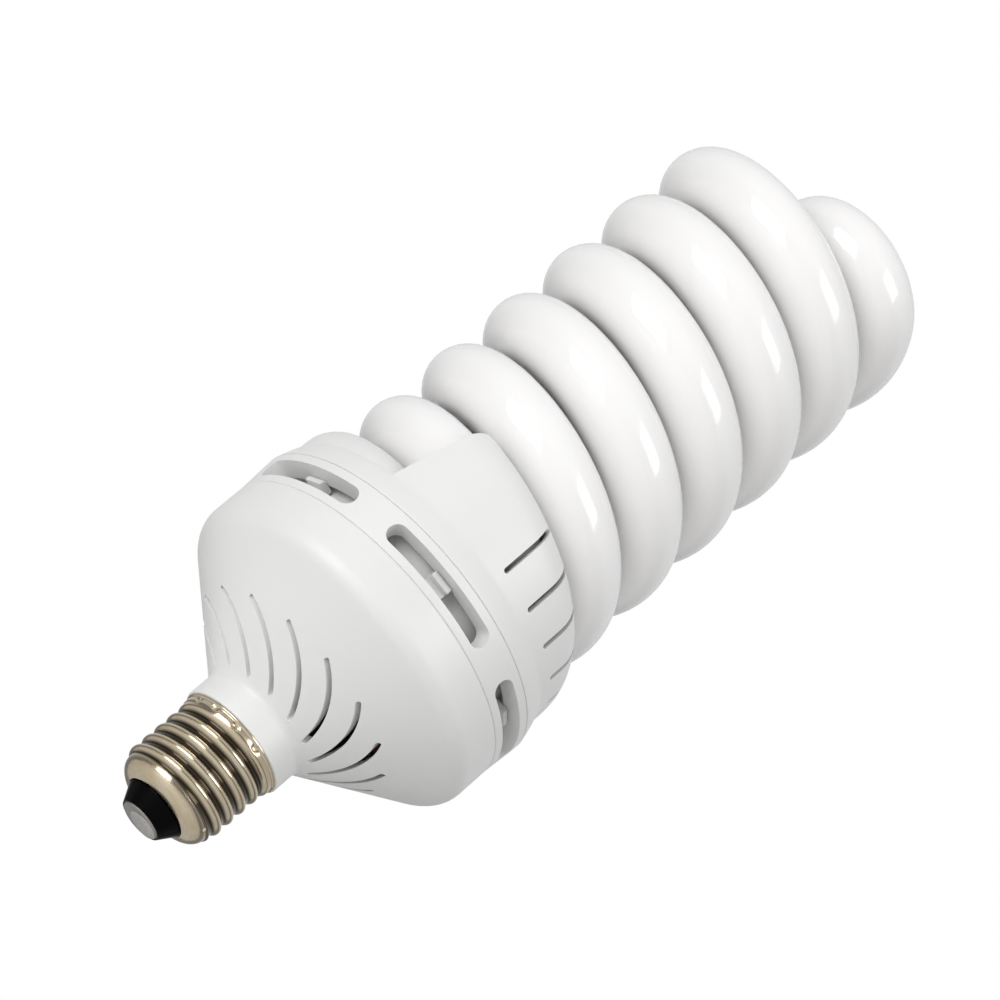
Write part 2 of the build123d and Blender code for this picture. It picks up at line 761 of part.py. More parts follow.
bobbin_height = CORE_WINDOW_HEIGHT - 2 * PART_STAND_OFF
bobbin_bore = (CORE_DEPTH + 2 * PART_STAND_OFF, CORE_LEG + 2 * PART_STAND_OFF)
bobbin_size = (bobbin_bore[0] + 2 * BOBBIN_WALL, bobbin_bore[1] + 2 * BOBBIN_WALL)
with BuildPart() as ballast_bobbin:
    with BuildSketch(core_middle):
        Rectangle(*bobbin_size)
        Rectangle(*bobbin_bore, mode=Mode.SUBTRACT)
    extrude(amount=bobbin_height / 2, both=True)
save(ballast_bobbin, "ballast_bobbin")

with BuildPart() as ballast_winding:
    winding_width = CORE_LEG + 2 * CORE_WINDOW - 2 * PART_STAND_OFF
    winding_depth = CORE_DEPTH + winding_width - CORE_LEG
    with BuildSketch(core_middle):
        RectangleRounded(winding_depth, winding_width, WINDING_CORNER)
        Rectangle(bobbin_size[0] + CAP_FIT, bobbin_size[1] + CAP_FIT, mode=Mode.SUBTRACT)
    extrude(amount=bobbin_height / 2 - BOBBIN_WALL / 2, both=True)
save(ballast_winding, "ballast_winding")


# Filter choke: a drum core and its winding
drum = under_board(DRUM_SEAT_RADIUS, DRUM_AZIMUTH)
with BuildPart() as filter_choke_core:
    with BuildSketch(drum):
        Circle(DRUM_RADIUS)
    extrude(amount=DRUM_HEIGHT)
    with BuildSketch(drum.offset(DRUM_FLANGE)):
        Circle(2 * DRUM_RADIUS)
        Circle(DRUM_WAIST, mode=Mode.SUBTRACT)
    extrude(amount=DRUM_HEIGHT - 2 * DRUM_FLANGE, mode=Mode.SUBTRACT)
save(filter_choke_core, "filter_choke_core")

with BuildPart() as filter_choke_winding:
    with BuildSketch(drum.offset(DRUM_FLANGE + CAP_FIT)):
        Circle(DRUM_RADIUS - CAP_FIT)
        Circle(DRUM_WAIST + CAP_FIT, mode=Mode.SUBTRACT)
    extrude(amount=DRUM_HEIGHT - 2 * DRUM_FLANGE - 2 * CAP_FIT)
save(filter_choke_winding, "filter_choke_winding")


# Drive transformer: a ferrite ring with three short windings
toroid = under_board(TOROID_SEAT_RADIUS, TOROID_AZIMUTH)
with BuildPart() as drive_core:
    with BuildSketch(toroid.offset(COIL_GIRTH)):
        Circle(TOROID_RADIUS)
        Circle(TOROID_BORE, mode=Mode.SUBTRACT)
    extrude(amount=TOROID_HEIGHT)
save(drive_core, "drive_core")

with BuildPart() as drive_windings:
    coil_mean = (TOROID_RADIUS + TOROID_BORE) / 2
    coil_depth = TOROID_RADIUS - TOROID_BORE
    with BuildPart(mode=Mode.PRIVATE) as coil:
        with Locations((coil_mean, 0, 0)):
            Box(coil_depth + 2 * COIL_GIRTH, COIL_WIDTH, TOROID_HEIGHT + 2 * COIL_GIRTH)
            Box(
                coil_depth + 6 * CAP_FIT,
                COIL_WIDTH,
                TOROID_HEIGHT + 2 * CAP_FIT,
                mode=Mode.SUBTRACT,
            )
    coil_middle = toroid.offset(COIL_GIRTH + TOROID_HEIGHT / 2)
    with Locations(coil_middle):
        with PolarLocations(0, 3):
            add(coil.part)
save(drive_windings, "drive_windings")


def film_capacitor(radius, azimuth):
    """A dipped film capacitor: a box with every long edge rounded."""
    with BuildPart() as capacitor:
        with BuildSketch(under_board(radius, azimuth)):
            RectangleRounded(FILM_THICKNESS, FILM_WIDTH, FILM_CORNER)
        extrude(amount=FILM_HEIGHT)
    return capacitor


save(film_capacitor(FILM_SEAT_RADIUS, RESONANT_AZIMUTH), "resonant_capacitor")
save(film_capacitor(FILM_SEAT_RADIUS, COUPLING_AZIMUTH), "coupling_capacitor")
save(film_capacitor(FILM_SEAT_RADIUS, FILTER_AZIMUTH), "filter_capacitor")


# Two power transistors, back to a heat sink
sink_plane = under_board(SINK_SEAT_RADIUS, SINK_AZIMUTH)
with BuildPart() as transistors:
    transistor_x = -(SINK_THICKNESS + TRANSISTOR_THICKNESS) / 2 - CAP_FIT
    with BuildSketch(sink_plane):
        for side in (-1, 1):
            with Locations((transistor_x, side * TRANSISTOR_SPACING / 2)):
                Rectangle(TRANSISTOR_THICKNESS, TRANSISTOR_WIDTH)
    extrude(amount=TRANSISTOR_HEIGHT)
save(transistors, "transistors")

with BuildPart() as heat_sink:
    with BuildSketch(sink_plane):
        Rectangle(SINK_THICKNESS, SINK_WIDTH)
        fin_x = (SINK_THICKNESS + SINK_FIN) / 2
        with Locations(*[(fin_x, side * SINK_WIDTH / 4) for side in (-1, 0, 1)]):
            Rectangle(SINK_FIN, SINK_THICKNESS)
    extrude(amount=SINK_HEIGHT)
save(heat_sink, "heat_sink")


def axial_part(length, radius, places):
    """Small round parts that lie on the board's top, with a wire leg at each end."""
    with BuildPart() as axial:
        for seat_radius, azimuth in places:
            seat = on_board(seat_radius, azimuth)
            middle = seat.offset(radius)
            lying = Plane(origin=middle.origin, x_dir=seat.z_dir, z_dir=seat.y_dir)
            with BuildSketch(lying):
                Circle(radius)
            extrude(amount=length / 2, both=True)
            with BuildSketch(lying):
                Circle(WIRE_RADIUS)
            extrude(amount=length / 2 + 2 * WIRE_RADIUS, both=True)
            leg_y = length / 2 + WIRE_RADIUS
            with BuildSketch(seat.offset(-PART_STAND_OFF)):
                with Locations((0, leg_y), (0, -leg_y)):
                    Circle(WIRE_RADIUS * 0.8)
            extrude(amount=PART_STAND_OFF + radius)
    return axial


diode_places = [(DIODE_SEAT_RADIUS, 360 / DIODE_COUNT * index) for index in range(DIODE_COUNT)]
resistor_places = [(resistor_seat_radius, azimuth) for azimuth in RESISTOR_AZIMUTHS]
save(axial_part(DIODE_LENGTH, DIODE_RADIUS, diode_places), "rectifier_diodes")
save(axial_part(RESISTOR_LENGTH, RESISTOR_RADIUS, resistor_places), "resistors")
save(axial_part(FUSE_LENGTH, FUSE_RADIUS, [(FUSE_SEAT_RADIUS, FUSE_AZIMUTH)]), "fuse")


# Thermistor: a disc on edge
with BuildPart() as thermistor:
    thermistor_seat = on_board(THERMISTOR_SEAT_RADIUS, THERMISTOR_AZIMUTH)
    standing = Plane(
        origin=thermistor_seat.offset(THERMISTOR_RADIUS).origin,
        x_dir=thermistor_seat.z_dir,
        z_dir=thermistor_seat.y_dir,
    )
    with BuildSketch(standing):
        Circle(THERMISTOR_RADIUS)
    extrude(amount=THERMISTOR_THICKNESS / 2, both=True)
save(thermistor, "thermistor")


# Wire posts on the board, and the four filament leads that come down to them
def wire(points, bend):
    """A round wire along straight runs joined by tangent arcs."""
    with BuildPart() as piece:
        with BuildLine() as route:
            FilletPolyline(*points, radius=bend)
        with BuildSketch(Plane(origin=route.line @ 0, z_dir=route.line % 0)):
            Circle(WIRE_RADIUS)
        sweep(path=route.line)
    return piece


post_top_z = board_top_z + POST_HEIGHT
with BuildPart() as wire_posts:
    with BuildSketch(Plane.XY.offset(board_top_z)):
        for post_radius in (post_inner_radius, post_outer_radius):
            for sector in (0, 180):
                with Locations(at(post_radius, POST_AZIMUTH + sector)):
                    Rectangle(2 * POST_RADIUS, 2 * POST_RADIUS)
    extrude(amount=POST_HEIGHT)
save(wire_posts, "wire_posts")

limb_start = path_plane(spiral_path(LIMB_START_AZIMUTH, 1))
lead_back = limb_start.z_dir * -1
dome_depth = sqrt(TUBE_RADIUS**2 - (LEAD_SPREAD / 2 - WIRE_RADIUS) ** 2) + CAP_FIT
with BuildPart() as filament_leads:
    for side, post_radius in ((-1, post_inner_radius), (1, post_outer_radius)):
        seal = limb_start.origin + limb_start.x_dir * (side * LEAD_SPREAD / 2) + lead_back * dome_depth
        post_top = at(post_radius, POST_AZIMUTH, post_top_z + CAP_FIT)
        lead = wire([seal, seal + lead_back * LEAD_REACH, post_top], WIRE_BEND)
        add(lead.part)
        add(lead.part.rotate(Axis.Z, 180))
save(filament_leads, "filament_leads")


# Lead to the shell: down beside the capacitor and out under the neck's end
shell_lead_radius = (CAN_RADIUS + NECK_RADIUS - HOUSING_WALL) / 2 + CAP_FIT
shell_inner_radius = THREAD_CREST_RADIUS - SHELL_WALL
fold_z = NECK_END_Z - WIRE_BEND
shell_lead = wire(
    [
        at(shell_lead_radius, SHELL_LEAD_AZIMUTH, BOARD_Z),
        at(shell_lead_radius, SHELL_LEAD_AZIMUTH, fold_z),
        at(shell_inner_radius - 6 * CAP_FIT, SHELL_LEAD_AZIMUTH, fold_z),
    ],
    WIRE_BEND,
)
save(shell_lead, "shell_lead")


# Lead to the centre contact: down beside the capacitor, in to the axis and down the bore
contact_lead = wire(
    [
        at(shell_lead_radius, CONTACT_LEAD_AZIMUTH, BOARD_Z),
        at(shell_lead_radius, CONTACT_LEAD_AZIMUTH, CONTACT_LEAD_TURN_Z),
        (0, 0, CONTACT_LEAD_TURN_Z - shell_lead_radius / 2),
        (0, 0, CONTACT_TOP_Z),
    ],
    WIRE_BEND,
)
save(contact_lead, "contact_lead")
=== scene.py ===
"""A spiral fluorescent bulb: the looks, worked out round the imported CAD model.

The frame is metres, with +Z from the cap's contact to the far end of the spiral. An azimuth
is an angle about Z in degrees, counted from the front (-Y) towards +X. Inside the functions
that make shapes, lengths are millimetres, and mesh_from turns them to metres.
"""

import math

import bpy
import numpy as np
from bpy.props import FloatProperty, FloatVectorProperty, PointerProperty
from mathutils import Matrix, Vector


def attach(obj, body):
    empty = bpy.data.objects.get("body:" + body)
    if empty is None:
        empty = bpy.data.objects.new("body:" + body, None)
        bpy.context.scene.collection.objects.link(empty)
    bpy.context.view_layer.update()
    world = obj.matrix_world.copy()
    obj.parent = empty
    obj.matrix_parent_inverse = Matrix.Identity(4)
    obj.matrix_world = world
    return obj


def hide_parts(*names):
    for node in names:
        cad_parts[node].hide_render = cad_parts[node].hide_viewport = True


bl_info = {
    "name": "Spiral Fluorescent Bulb",
    "version": (1, 0, 0),
    "blender": (4, 5, 0),
    "location": "View3D > Sidebar > Bulb",
    "description": "Makes a spiral fluorescent bulb with its screw cap, vented housing and studio",
    "category": "Add Mesh",
}

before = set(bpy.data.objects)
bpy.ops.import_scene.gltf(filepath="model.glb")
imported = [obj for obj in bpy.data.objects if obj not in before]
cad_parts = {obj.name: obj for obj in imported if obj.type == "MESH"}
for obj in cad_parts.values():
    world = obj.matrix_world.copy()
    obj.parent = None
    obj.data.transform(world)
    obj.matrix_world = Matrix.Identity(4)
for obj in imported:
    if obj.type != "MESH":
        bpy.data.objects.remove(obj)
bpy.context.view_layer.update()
MM = 0.001

# Fixed proportions in mm or degrees, as the CAD has them
CAP = {"mouth": 8.1, "mouth_z": 5.2, "nose_z": 8.6, "depth": 1.04, "run_out": 1.0, "turns": 4.25}
THREAD_AZIMUTH, SHELL_WALL = 158, 0.4
SKIRT_RADIUS, SKIRT_FLARE, RIM_Z = 13.35, 0.35, 27.8
PUNCH_MARKS = ((-8.1, 26.45), (18.9, 26.6), (-60.1, 26.45), (-36.2, 26.6), (100.0, 26.5), (160.0, 26.5))
LIMB_START, LIMB_END, LIMB_Z = 15.0, -1021.0, 95.9
STEM_RADIUS, STEM_LENGTH = 2.2, 4.0
NECK_BORE, NECK_RADIUS, NECK_Z = 9.5, 11.5, 10.0
COLLAR_RADIUS, COLLAR_FOOT_Z, COLLAR_TOP_Z = 14.1, 27.85, 34.7
CONE_ANGLE, HOUSING_WALL = 50.6, 2.0
SEAM_LOW_Z, SEAM_HIGH_Z, RING_FLARE = 67.9, 77.4, 0.6
SLIT_RADII, SLIT_AZIMUTHS = (15.9, 22.0, 28.2), (39.3, 21.4, -0.3)
SLIT_HEIGHTS, SLIT_COUNT = (32.7, 57.1), 15
VENT_AZIMUTH, VENT_ARC, VENT_COUNT, VENT_LOW_Z = 4.9, 46.0, 6, 70.0
HOLDER_INSET, HOLDER_WALL, SHOULDER = 1.2, 1.8, 8.5
TAPER_Z, TAPER_WIDTH, TAPER_HEIGHT = 77.7, 1.8, 5.8
STEP_AZIMUTH, HUB_RADIUS, HUB_Z = -30.0, 10.0, 100.0
RAMP_LIFT, HOLDER_FLOOR_Z = 1.4, 79.4
GILL_FOOT_Z, GILL_TOP_Z, GILL_SPACING = 86.5, 122.0, 15


def length_setting(name, description, millimetres):
    """A size that a user may change, kept in metres as Blender does."""
    return FloatProperty(
        name=name, description=description, default=millimetres * MM, min=0.0, unit="LENGTH", precision=5
    )


def linear(code):
    """The linear red, green and blue of an sRGB hex colour."""
    values = [int(code[i : i + 2], 16) / 255 for i in (1, 3, 5)]
    return tuple(v / 12.92 if v <= 0.04045 else ((v + 0.055) / 1.055) ** 2.4 for v in values)


def colour_setting(name, description, code):
    """A colour that a user may change, given as sRGB hex."""
    return FloatVectorProperty(
        name=name, description=description, subtype="COLOR", size=3, min=0.0, max=1.0, default=linear(code)
    )


class BulbSizes(bpy.types.PropertyGroup):
    """Sizes that a user would change."""

    tube_radius: length_setting("Tube radius", "Outer radius of the glass tube", 9.0)
    spiral_radius: length_setting("Spiral radius", "Radius of the tube's centre line", 27.9)
    spiral_pitch: length_setting("Spiral pitch", "Rise of one limb in one turn", 40.9)
    thread_crest: length_setting("Thread crest radius", "Radius over the cap's thread crests", 13.12)
    thread_pitch: length_setting("Thread pitch", "Rise of the cap's thread in one turn", 3.629)
    housing_radius: length_setting("Housing radius", "Outer radius of the rear housing", 41.5)
    slit_width: length_setting("Slit width", "Width of the curved slits in the cone", 1.1)
    gill_width: length_setting("Gill width", "Width of the upright slits in the holder", 1.35)
    vent_height: length_setting("Vent height", "Height of the vents in the ring", 5.1)


class BulbColours(bpy.types.PropertyGroup):
    """Colours that a user would change."""

    phosphor: colour_setting("Phosphor", "White powder coating inside the tube", "#EDECEB")
    housing: colour_setting("Housing", "Moulded plastic of the housing", "#DEDEDD")
    nickel: colour_setting("Nickel", "Plating of the screw shell", "#E4DBCA")
    insulator: colour_setting("Insulator", "Glass between shell and contact", "#020202")
    solder: colour_setting("Solder", "Tin on the contact", "#C6C3C0")
    copper: colour_setting("Copper", "Enamelled winding wire", "#A6562A")
    board: colour_setting("Board", "Paper laminate of the circuit board", "#A98E57")


def user_values(group):
    """The settings of a group by name."""
    keys = [key for key in group.bl_rna.properties.keys() if key not in ("name", "rna_type")]
    return {key: getattr(group, key) for key in keys}


def sizes():
    """The user's sizes, in millimetres."""
    return {key: round(value / MM, 4) for key, value in user_values(bpy.context.scene.bulb_sizes).items()}


def colours():
    """The user's colours, as linear RGBA."""
    return {key: (*value, 1.0) for key, value in user_values(bpy.context.scene.bulb_colours).items()}


# Shapes


def polar(radius, azimuth, z):
    """Points at a radius, an azimuth in degrees and a height, as an array ending in x, y, z."""
    radius, azimuth, z = np.broadcast_arrays(radius, np.radians(azimuth), z)
    return np.stack([radius * np.sin(azimuth), -radius * np.cos(azimuth), z], axis=-1)


def level_axes(azimuth):
    """The level directions outwards and along the round at an azimuth."""
    a = math.radians(azimuth)
    return np.array([math.sin(a), -math.cos(a), 0]), np.array([math.cos(a), math.sin(a), 0])


def ring_faces(rows, columns, wrap_rows):
    """Quads between neighbouring points of a grid, numbered row by row, whose rows are rings."""
    r = np.arange(rows if wrap_rows else rows - 1)
    r, c = [grid.ravel() for grid in np.meshgrid(r, np.arange(columns), indexing="ij")]
    r_next, c_next = (r + 1) % rows, (c + 1) % columns
    corners = (r * columns + c, r * columns + c_next, r_next * columns + c_next, r_next * columns + c)
    return np.stack(corners, axis=1)


def grid_surface(points, wrap_rows=False, first_pole=None, last_pole=None, flip=False):
    """Vertices and faces of rings of points, with a fan to a pole at either end.

    Where the columns run anticlockwise seen from the direction in which the rows go on,
    the faces point outwards; flip turns them round.
    """
    rows, columns = points.shape[:2]
    vertices = points.reshape(-1, 3)
    faces = ring_faces(rows, columns, wrap_rows).tolist()
    around = np.arange(columns)
    onward = (around + 1) % columns
    for pole, row, turned in ((first_pole, 0, True), (last_pole, rows - 1, False)):
        if pole is None:
            continue
        tip = np.full(columns, len(vertices))
        edge = (row * columns + around, row * columns + onward)
        fan = np.stack([edge[turned], edge[not turned], tip], axis=1)
        faces += fan.tolist()
        vertices = np.vstack([vertices, np.asarray(pole, dtype=float)])
    if flip:
        faces = [face[::-1] for face in faces]
    return vertices, faces


def prism(points, flip=False):
    """A closed surface through rings of points, with one flat face at either end."""
    rows, count = points.shape[:2]
    vertices, faces = grid_surface(points, flip=flip)
    lids = [list(range(count))[::-1], list(range((rows - 1) * count, rows * count))]
    return vertices, faces + ([lid[::-1] for lid in lids] if flip else lids)


def joined(surfaces):
    """Several closed surfaces as one list of vertices and faces."""
    vertices, faces, count = [], [], 0
    for points, polygons in surfaces:
        vertices.append(points)
        faces += [[corner + count for corner in polygon] for polygon in polygons]
        count += len(points)
    return np.vstack(vertices), faces


def mesh_from(name, surface, smooth_angle=35.0):
    """A mesh object in metres from vertices in millimetres, smooth up to an angle."""
    vertices, faces = surface
    mesh = bpy.data.meshes.new(name)
    mesh.from_pydata((vertices * MM).tolist(), [], faces)
    mesh.validate()
    obj = bpy.data.objects.new(name, mesh)
    bpy.context.scene.collection.objects.link(obj)
    mesh.shade_smooth()
    mesh.set_sharp_from_angle(angle=math.radians(smooth_angle))
    return obj


def rounded(corners):
    """A closed profile with its corners rounded: each corner is (x, z, radius).

    A corner of radius r becomes an arc tangent to both its sides, which starts
    r / tan(half the corner's angle) away from it.
    """
    points = []
    count = len(corners)
    for index, (x, z, radius) in enumerate(corners):
        corner = np.array([x, z])
        before = np.array(corners[index - 1][:2]) - corner
        after = np.array(corners[(index + 1) % count][:2]) - corner
        if radius <= 0:
            points.append(corner[None])
            continue
        before, after = before / np.linalg.norm(before), after / np.linalg.norm(after)
        half = math.acos(np.clip(before @ after, -1, 1)) / 2
        reach = radius / math.tan(half)
        middle = (before + after) / np.linalg.norm(before + after) * radius / math.sin(half)
        start, end = before * reach - middle, after * reach - middle
        sweep = math.pi - 2 * half
        steps = max(3, int(math.degrees(sweep) / 9) + 2)
        share = np.linspace(0, 1, steps)[:, None]
        arc = (np.sin((1 - share) * sweep) * start + np.sin(share * sweep) * end) / math.sin(sweep)
        points.append(corner + middle + arc)
    return np.vstack(points)


def refined(profile, longest):
    """The closed profile with extra points, so that no side is longer than a length."""
    pieces = []
    for start, end in zip(profile, np.roll(profile, -1, axis=0)):
        parts = max(1, math.ceil(np.linalg.norm(end - start) / longest))
        pieces.append(start + (end - start) * np.arange(parts)[:, None] / parts)
    return np.vstack(pieces)


def turned(profile, steps=192):
    """A closed profile of radii and heights turned about the axis, with faces outwards.

    The profile runs anticlockwise in the radius-height plane.
    """
    azimuth = np.arange(steps) * 360.0 / steps
    points = polar(profile[:, :1], azimuth[None], profile[:, 1:])
    return grid_surface(points, wrap_rows=True, flip=True)


def swept(path, tangent, radii, offsets, columns=48):
    """A round tube: circles square to a path, with one radius and one shift along it each.

    The circle's first axis is level, the cross product of the tangent and Z, so the tube
    doesn't twist.
    """
    side = np.cross(tangent, [0.0, 0.0, 1.0])
    side /= np.linalg.norm(side, axis=1, keepdims=True)
    up = np.cross(side, tangent)
    angle = np.arange(columns) * 2 * np.pi / columns
    ring = np.cos(angle)[None, :, None] * side[:, None] + np.sin(angle)[None, :, None] * up[:, None]
    centres = path + tangent * offsets[:, None]
    return centres[:, None] + ring * radii[:, None, None]


def cut(obj, surface, name):
    """Takes a closed surface away from a piece, and removes the cutter."""
    cutter = mesh_from(name, surface)
    modifier = obj.modifiers.new(name, "BOOLEAN")
    modifier.operation, modifier.solver, modifier.object = "DIFFERENCE", "EXACT", cutter
    apply_modifiers(obj)
    bpy.data.meshes.remove(cutter.data)


def apply_modifiers(obj):
    """Puts the modified mesh in the object's own mesh."""
    graph = bpy.context.evaluated_depsgraph_get()
    mesh = bpy.data.meshes.new_from_object(obj.evaluated_get(graph))
    mesh.name = obj.name
    old = obj.data
    obj.modifiers.clear()
    obj.data = mesh
    bpy.data.meshes.remove(old)


def settle(obj, material, nodes=(), smooth_angle=35.0):
    """Gives a piece its material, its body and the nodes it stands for."""
    obj.data.materials.clear()
    obj.data.materials.append(material)
    obj.data.shade_smooth()
    obj.data.set_sharp_from_angle(angle=math.radians(smooth_angle))
    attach(obj, "root")
    if nodes:
        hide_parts(*nodes)


# Materials


def add_node(tree, kind, inputs=None, **settings):
    """Adds one node: its settings by name, and its inputs as values or as links."""
    made = tree.nodes.new(kind)
    for key, value in settings.items():
        setattr(made, key, value)
    for key, value in (inputs or {}).items():
        if isinstance(value, bpy.types.NodeSocket):
            tree.links.new(value, made.inputs[key])
        else:
            made.inputs[key].default_value = value
    return made


def start_material(name, **surface):
    """A material with a Principled shader, its constants set on the shader's own sockets."""
    material = bpy.data.materials.new(name)
    material.use_nodes = True
    tree = material.node_tree
    tree.nodes.clear()
    inputs = {key.replace("_", " "): value for key, value in surface.items()}
    shader = add_node(tree, "ShaderNodeBsdfPrincipled", inputs)
    add_node(tree, "ShaderNodeOutputMaterial", {"Surface": shader.outputs[0]})
    place = add_node(tree, "ShaderNodeTexCoord").outputs["Object"]
    return material, tree, shader, place


def noise(tree, place, size_mm, detail=3.0, roughness=0.5):
    """Noise whose blotches are about a size in millimetres across."""
    inputs = {"Vector": place, "Scale": 1.0 / (size_mm * MM), "Detail": detail, "Roughness": roughness}
    return add_node(tree, "ShaderNodeTexNoise", inputs).outputs["Fac"]


def spread(tree, value, low, high):
    """Maps a value of 0.3 to 0.7, where most noise lies, onto a range."""
    inputs = {"Value": value, "From Min": 0.3, "From Max": 0.7, "To Min": low, "To Max": high}
    return add_node(tree, "ShaderNodeMapRange", inputs).outputs["Result"]


def tint(tree, amount, first, second):
    """Mixes two colours by an amount."""
    return add_node(tree, "ShaderNodeMix", {0: amount, 6: first, 7: second}, data_type="RGBA").outputs[2]


def shade(colour, factor):
    """A colour made darker or lighter by a factor."""
    return (*[min(1.0, channel * factor) for channel in colour[:3]], 1.0)


def raise_bump(tree, shader, height, distance_mm, strength=1.0, socket="Normal"):
    """Bump of a real height in millimetres, on the shader's body or on its coat."""
    inputs = {"Height": height, "Distance": distance_mm * MM, "Strength": strength}
    tree.links.new(add_node(tree, "ShaderNodeBump", inputs).outputs["Normal"], shader.inputs[socket])


def moulded_plastic():
    """ABS, injection moulded: satin, with a faint flow mottle and a fine spark-eroded grain."""
    base = colours()["housing"]
    material, tree, shader, place = start_material(
        "abs_injection_moulded",
        IOR=1.54,
        Subsurface_Weight=0.08,
        Subsurface_Scale=1.2 * MM,
        Specular_IOR_Level=0.45,
    )
    shader.inputs["Subsurface Radius"].default_value = (1.0, 0.95, 0.9)
    flow = noise(tree, place, 26.0)
    grain = noise(tree, place, 0.45, detail=2.0)
    tree.links.new(tint(tree, flow, shade(base, 0.965), shade(base, 1.02)), shader.inputs["Base Color"])
    tree.links.new(spread(tree, noise(tree, place, 9.0), 0.36, 0.46), shader.inputs["Roughness"])
    raise_bump(tree, shader, grain, 0.012)
    return material


def coated_glass():
    """Soda-lime glass tube with white phosphor inside: chalky white under a clear gloss.

    The colour is a soft white body with painted shade: a slight grey painted where the glass is seen edge on.
    Sharp highlights come from the clear skin, which drawing leaves slightly wavy.
    """
    base = colours()["phosphor"]
    material, tree, shader, place = start_material(
        "phosphor_coated_glass_drawn",
        Roughness=0.6,
        IOR=1.45,
        Coat_Weight=1.0,
        Coat_Roughness=0.04,
        Coat_IOR=1.52,
        Subsurface_Weight=0.7,
        Subsurface_Scale=6.0 * MM,
    )
    shader.inputs["Subsurface Radius"].default_value = (1.0, 0.97, 0.9)
    edge = add_node(tree, "ShaderNodeLayerWeight", {"Blend": 0.22}).outputs["Facing"]
    patches = tint(tree, noise(tree, place, 12.0), shade(base, 0.985), shade(base, 1.0))
    # Painted shade: the colour turns grey where the glass is seen edge on.
    tree.links.new(tint(tree, edge, patches, (*linear("#E1E0E2"), 1.0)), shader.inputs["Base Color"])
    raise_bump(tree, shader, noise(tree, place, 14.0, detail=1.0), 0.12, socket="Coat Normal")
    return material


def plated_brass():
    """Brass sheet, rolled to a thread and nickel plated: bright, with painted shade in the roots.

    The crests keep the plating's own bright colour, and the roots are painted near black as painted shade,
    standing in for the shade and dark reflections that fall there. Rolling leaves fine marks along the thread.
    """
    base = colours()["nickel"]
    values = sizes()
    material, tree, shader, place = start_material("nickel_plated_brass_rolled", Metallic=1.0)
    flatten, squeeze = {"Vector": place, "Scale": (1, 1, 0)}, {"Vector": place, "Scale": (1, 1, 14)}
    level = add_node(tree, "ShaderNodeMapping", flatten).outputs["Vector"]
    radius = add_node(tree, "ShaderNodeVectorMath", {0: level}, operation="LENGTH").outputs["Value"]
    height = add_node(tree, "ShaderNodeSeparateXYZ", {0: place}).outputs["Z"]
    squash = add_node(tree, "ShaderNodeMapping", squeeze).outputs["Vector"]
    streak = noise(tree, squash, 3.0, detail=4.0, roughness=0.65)
    blotch = noise(tree, place, 6.0, detail=4.0)
    root = (values["thread_crest"] - CAP["depth"]) * MM
    flank = (values["thread_crest"] - CAP["depth"] * 0.35) * MM
    limits = {"Value": radius, "From Min": root, "From Max": flank, "To Min": 0.95, "To Max": 0.0}
    depth = add_node(tree, "ShaderNodeMapRange", limits, interpolation_type="SMOOTHSTEP").outputs["Result"]
    nose = CAP["nose_z"] * MM
    limits = {"Value": height, "From Min": nose - 0.2 * MM, "From Max": nose + 0.4 * MM}
    above_nose = add_node(tree, "ShaderNodeMapRange", limits).outputs["Result"]
    # Painted shade: above the nose, the thread roots are darkened towards near black by their depth.
    painted_root_shade = add_node(tree, "ShaderNodeMath", {0: depth, 1: above_nose}, operation="MULTIPLY").outputs[0]
    warm = tint(tree, blotch, base, (*linear("#CBB793"), 1.0))
    for amount, code in ((spread(tree, streak, 0.0, 0.3), "#8A7C66"), (painted_root_shade, "#2B231A")):
        warm = tint(tree, amount, warm, (*linear(code), 1.0))
    tree.links.new(warm, shader.inputs["Base Color"])
    tree.links.new(spread(tree, blotch, 0.08, 0.22), shader.inputs["Roughness"])
    raise_bump(tree, shader, streak, 0.03, 0.6)
    return material


def black_glass():
    """Vitrite, a black slag glass moulded in place: slightly uneven, and dulled by handling."""
    material, tree, shader, place = start_material(
        "vitrite_glass_moulded", Base_Color=colours()["insulator"], IOR=1.55, Specular_IOR_Level=0.04
    )
    tree.links.new(spread(tree, noise(tree, place, 3.0), 0.08, 0.2), shader.inputs["Roughness"])
    raise_bump(tree, shader, noise(tree, place, 2.5, detail=2.0), 0.06, 0.7)
    return material


def contact_metal(name, code, rough_low, rough_high, grain_mm, relief_mm):
    """A soft contact metal, dulled by handling: matt, pitted, with darker oxide in patches."""
    base = (*linear(code), 1.0) if isinstance(code, str) else code
    material, tree, shader, place = start_material(name, Metallic=0.85)
    oxide = noise(tree, place, grain_mm, detail=5.0, roughness=0.6)
    tree.links.new(tint(tree, oxide, shade(base, 0.55), shade(base, 1.15)), shader.inputs["Base Color"])
    tree.links.new(spread(tree, oxide, rough_high, rough_low), shader.inputs["Roughness"])
    raise_bump(tree, shader, oxide, relief_mm)
    return material


def plain_finish(name, code, roughness, grain_mm, relief_mm, contrast=0.12, metallic=0.0, coat=0.0):
    """An everyday surface: one colour with a mottle, and a grain of a real size."""
    base = (*linear(code), 1.0) if isinstance(code, str) else code
    skin = {"Metallic": metallic, "Coat_Weight": coat, "Coat_Roughness": 0.1}
    material, tree, shader, place = start_material(name, **skin)
    mottle = noise(tree, place, grain_mm * 6)
    grain = noise(tree, place, grain_mm)
    first, second = shade(base, 1 - contrast), shade(base, 1 + contrast)
    tree.links.new(tint(tree, mottle, first, second), shader.inputs["Base Color"])
    tree.links.new(spread(tree, grain, roughness - 0.06, roughness + 0.06), shader.inputs["Roughness"])
    raise_bump(tree, shader, grain, relief_mm)
    return material


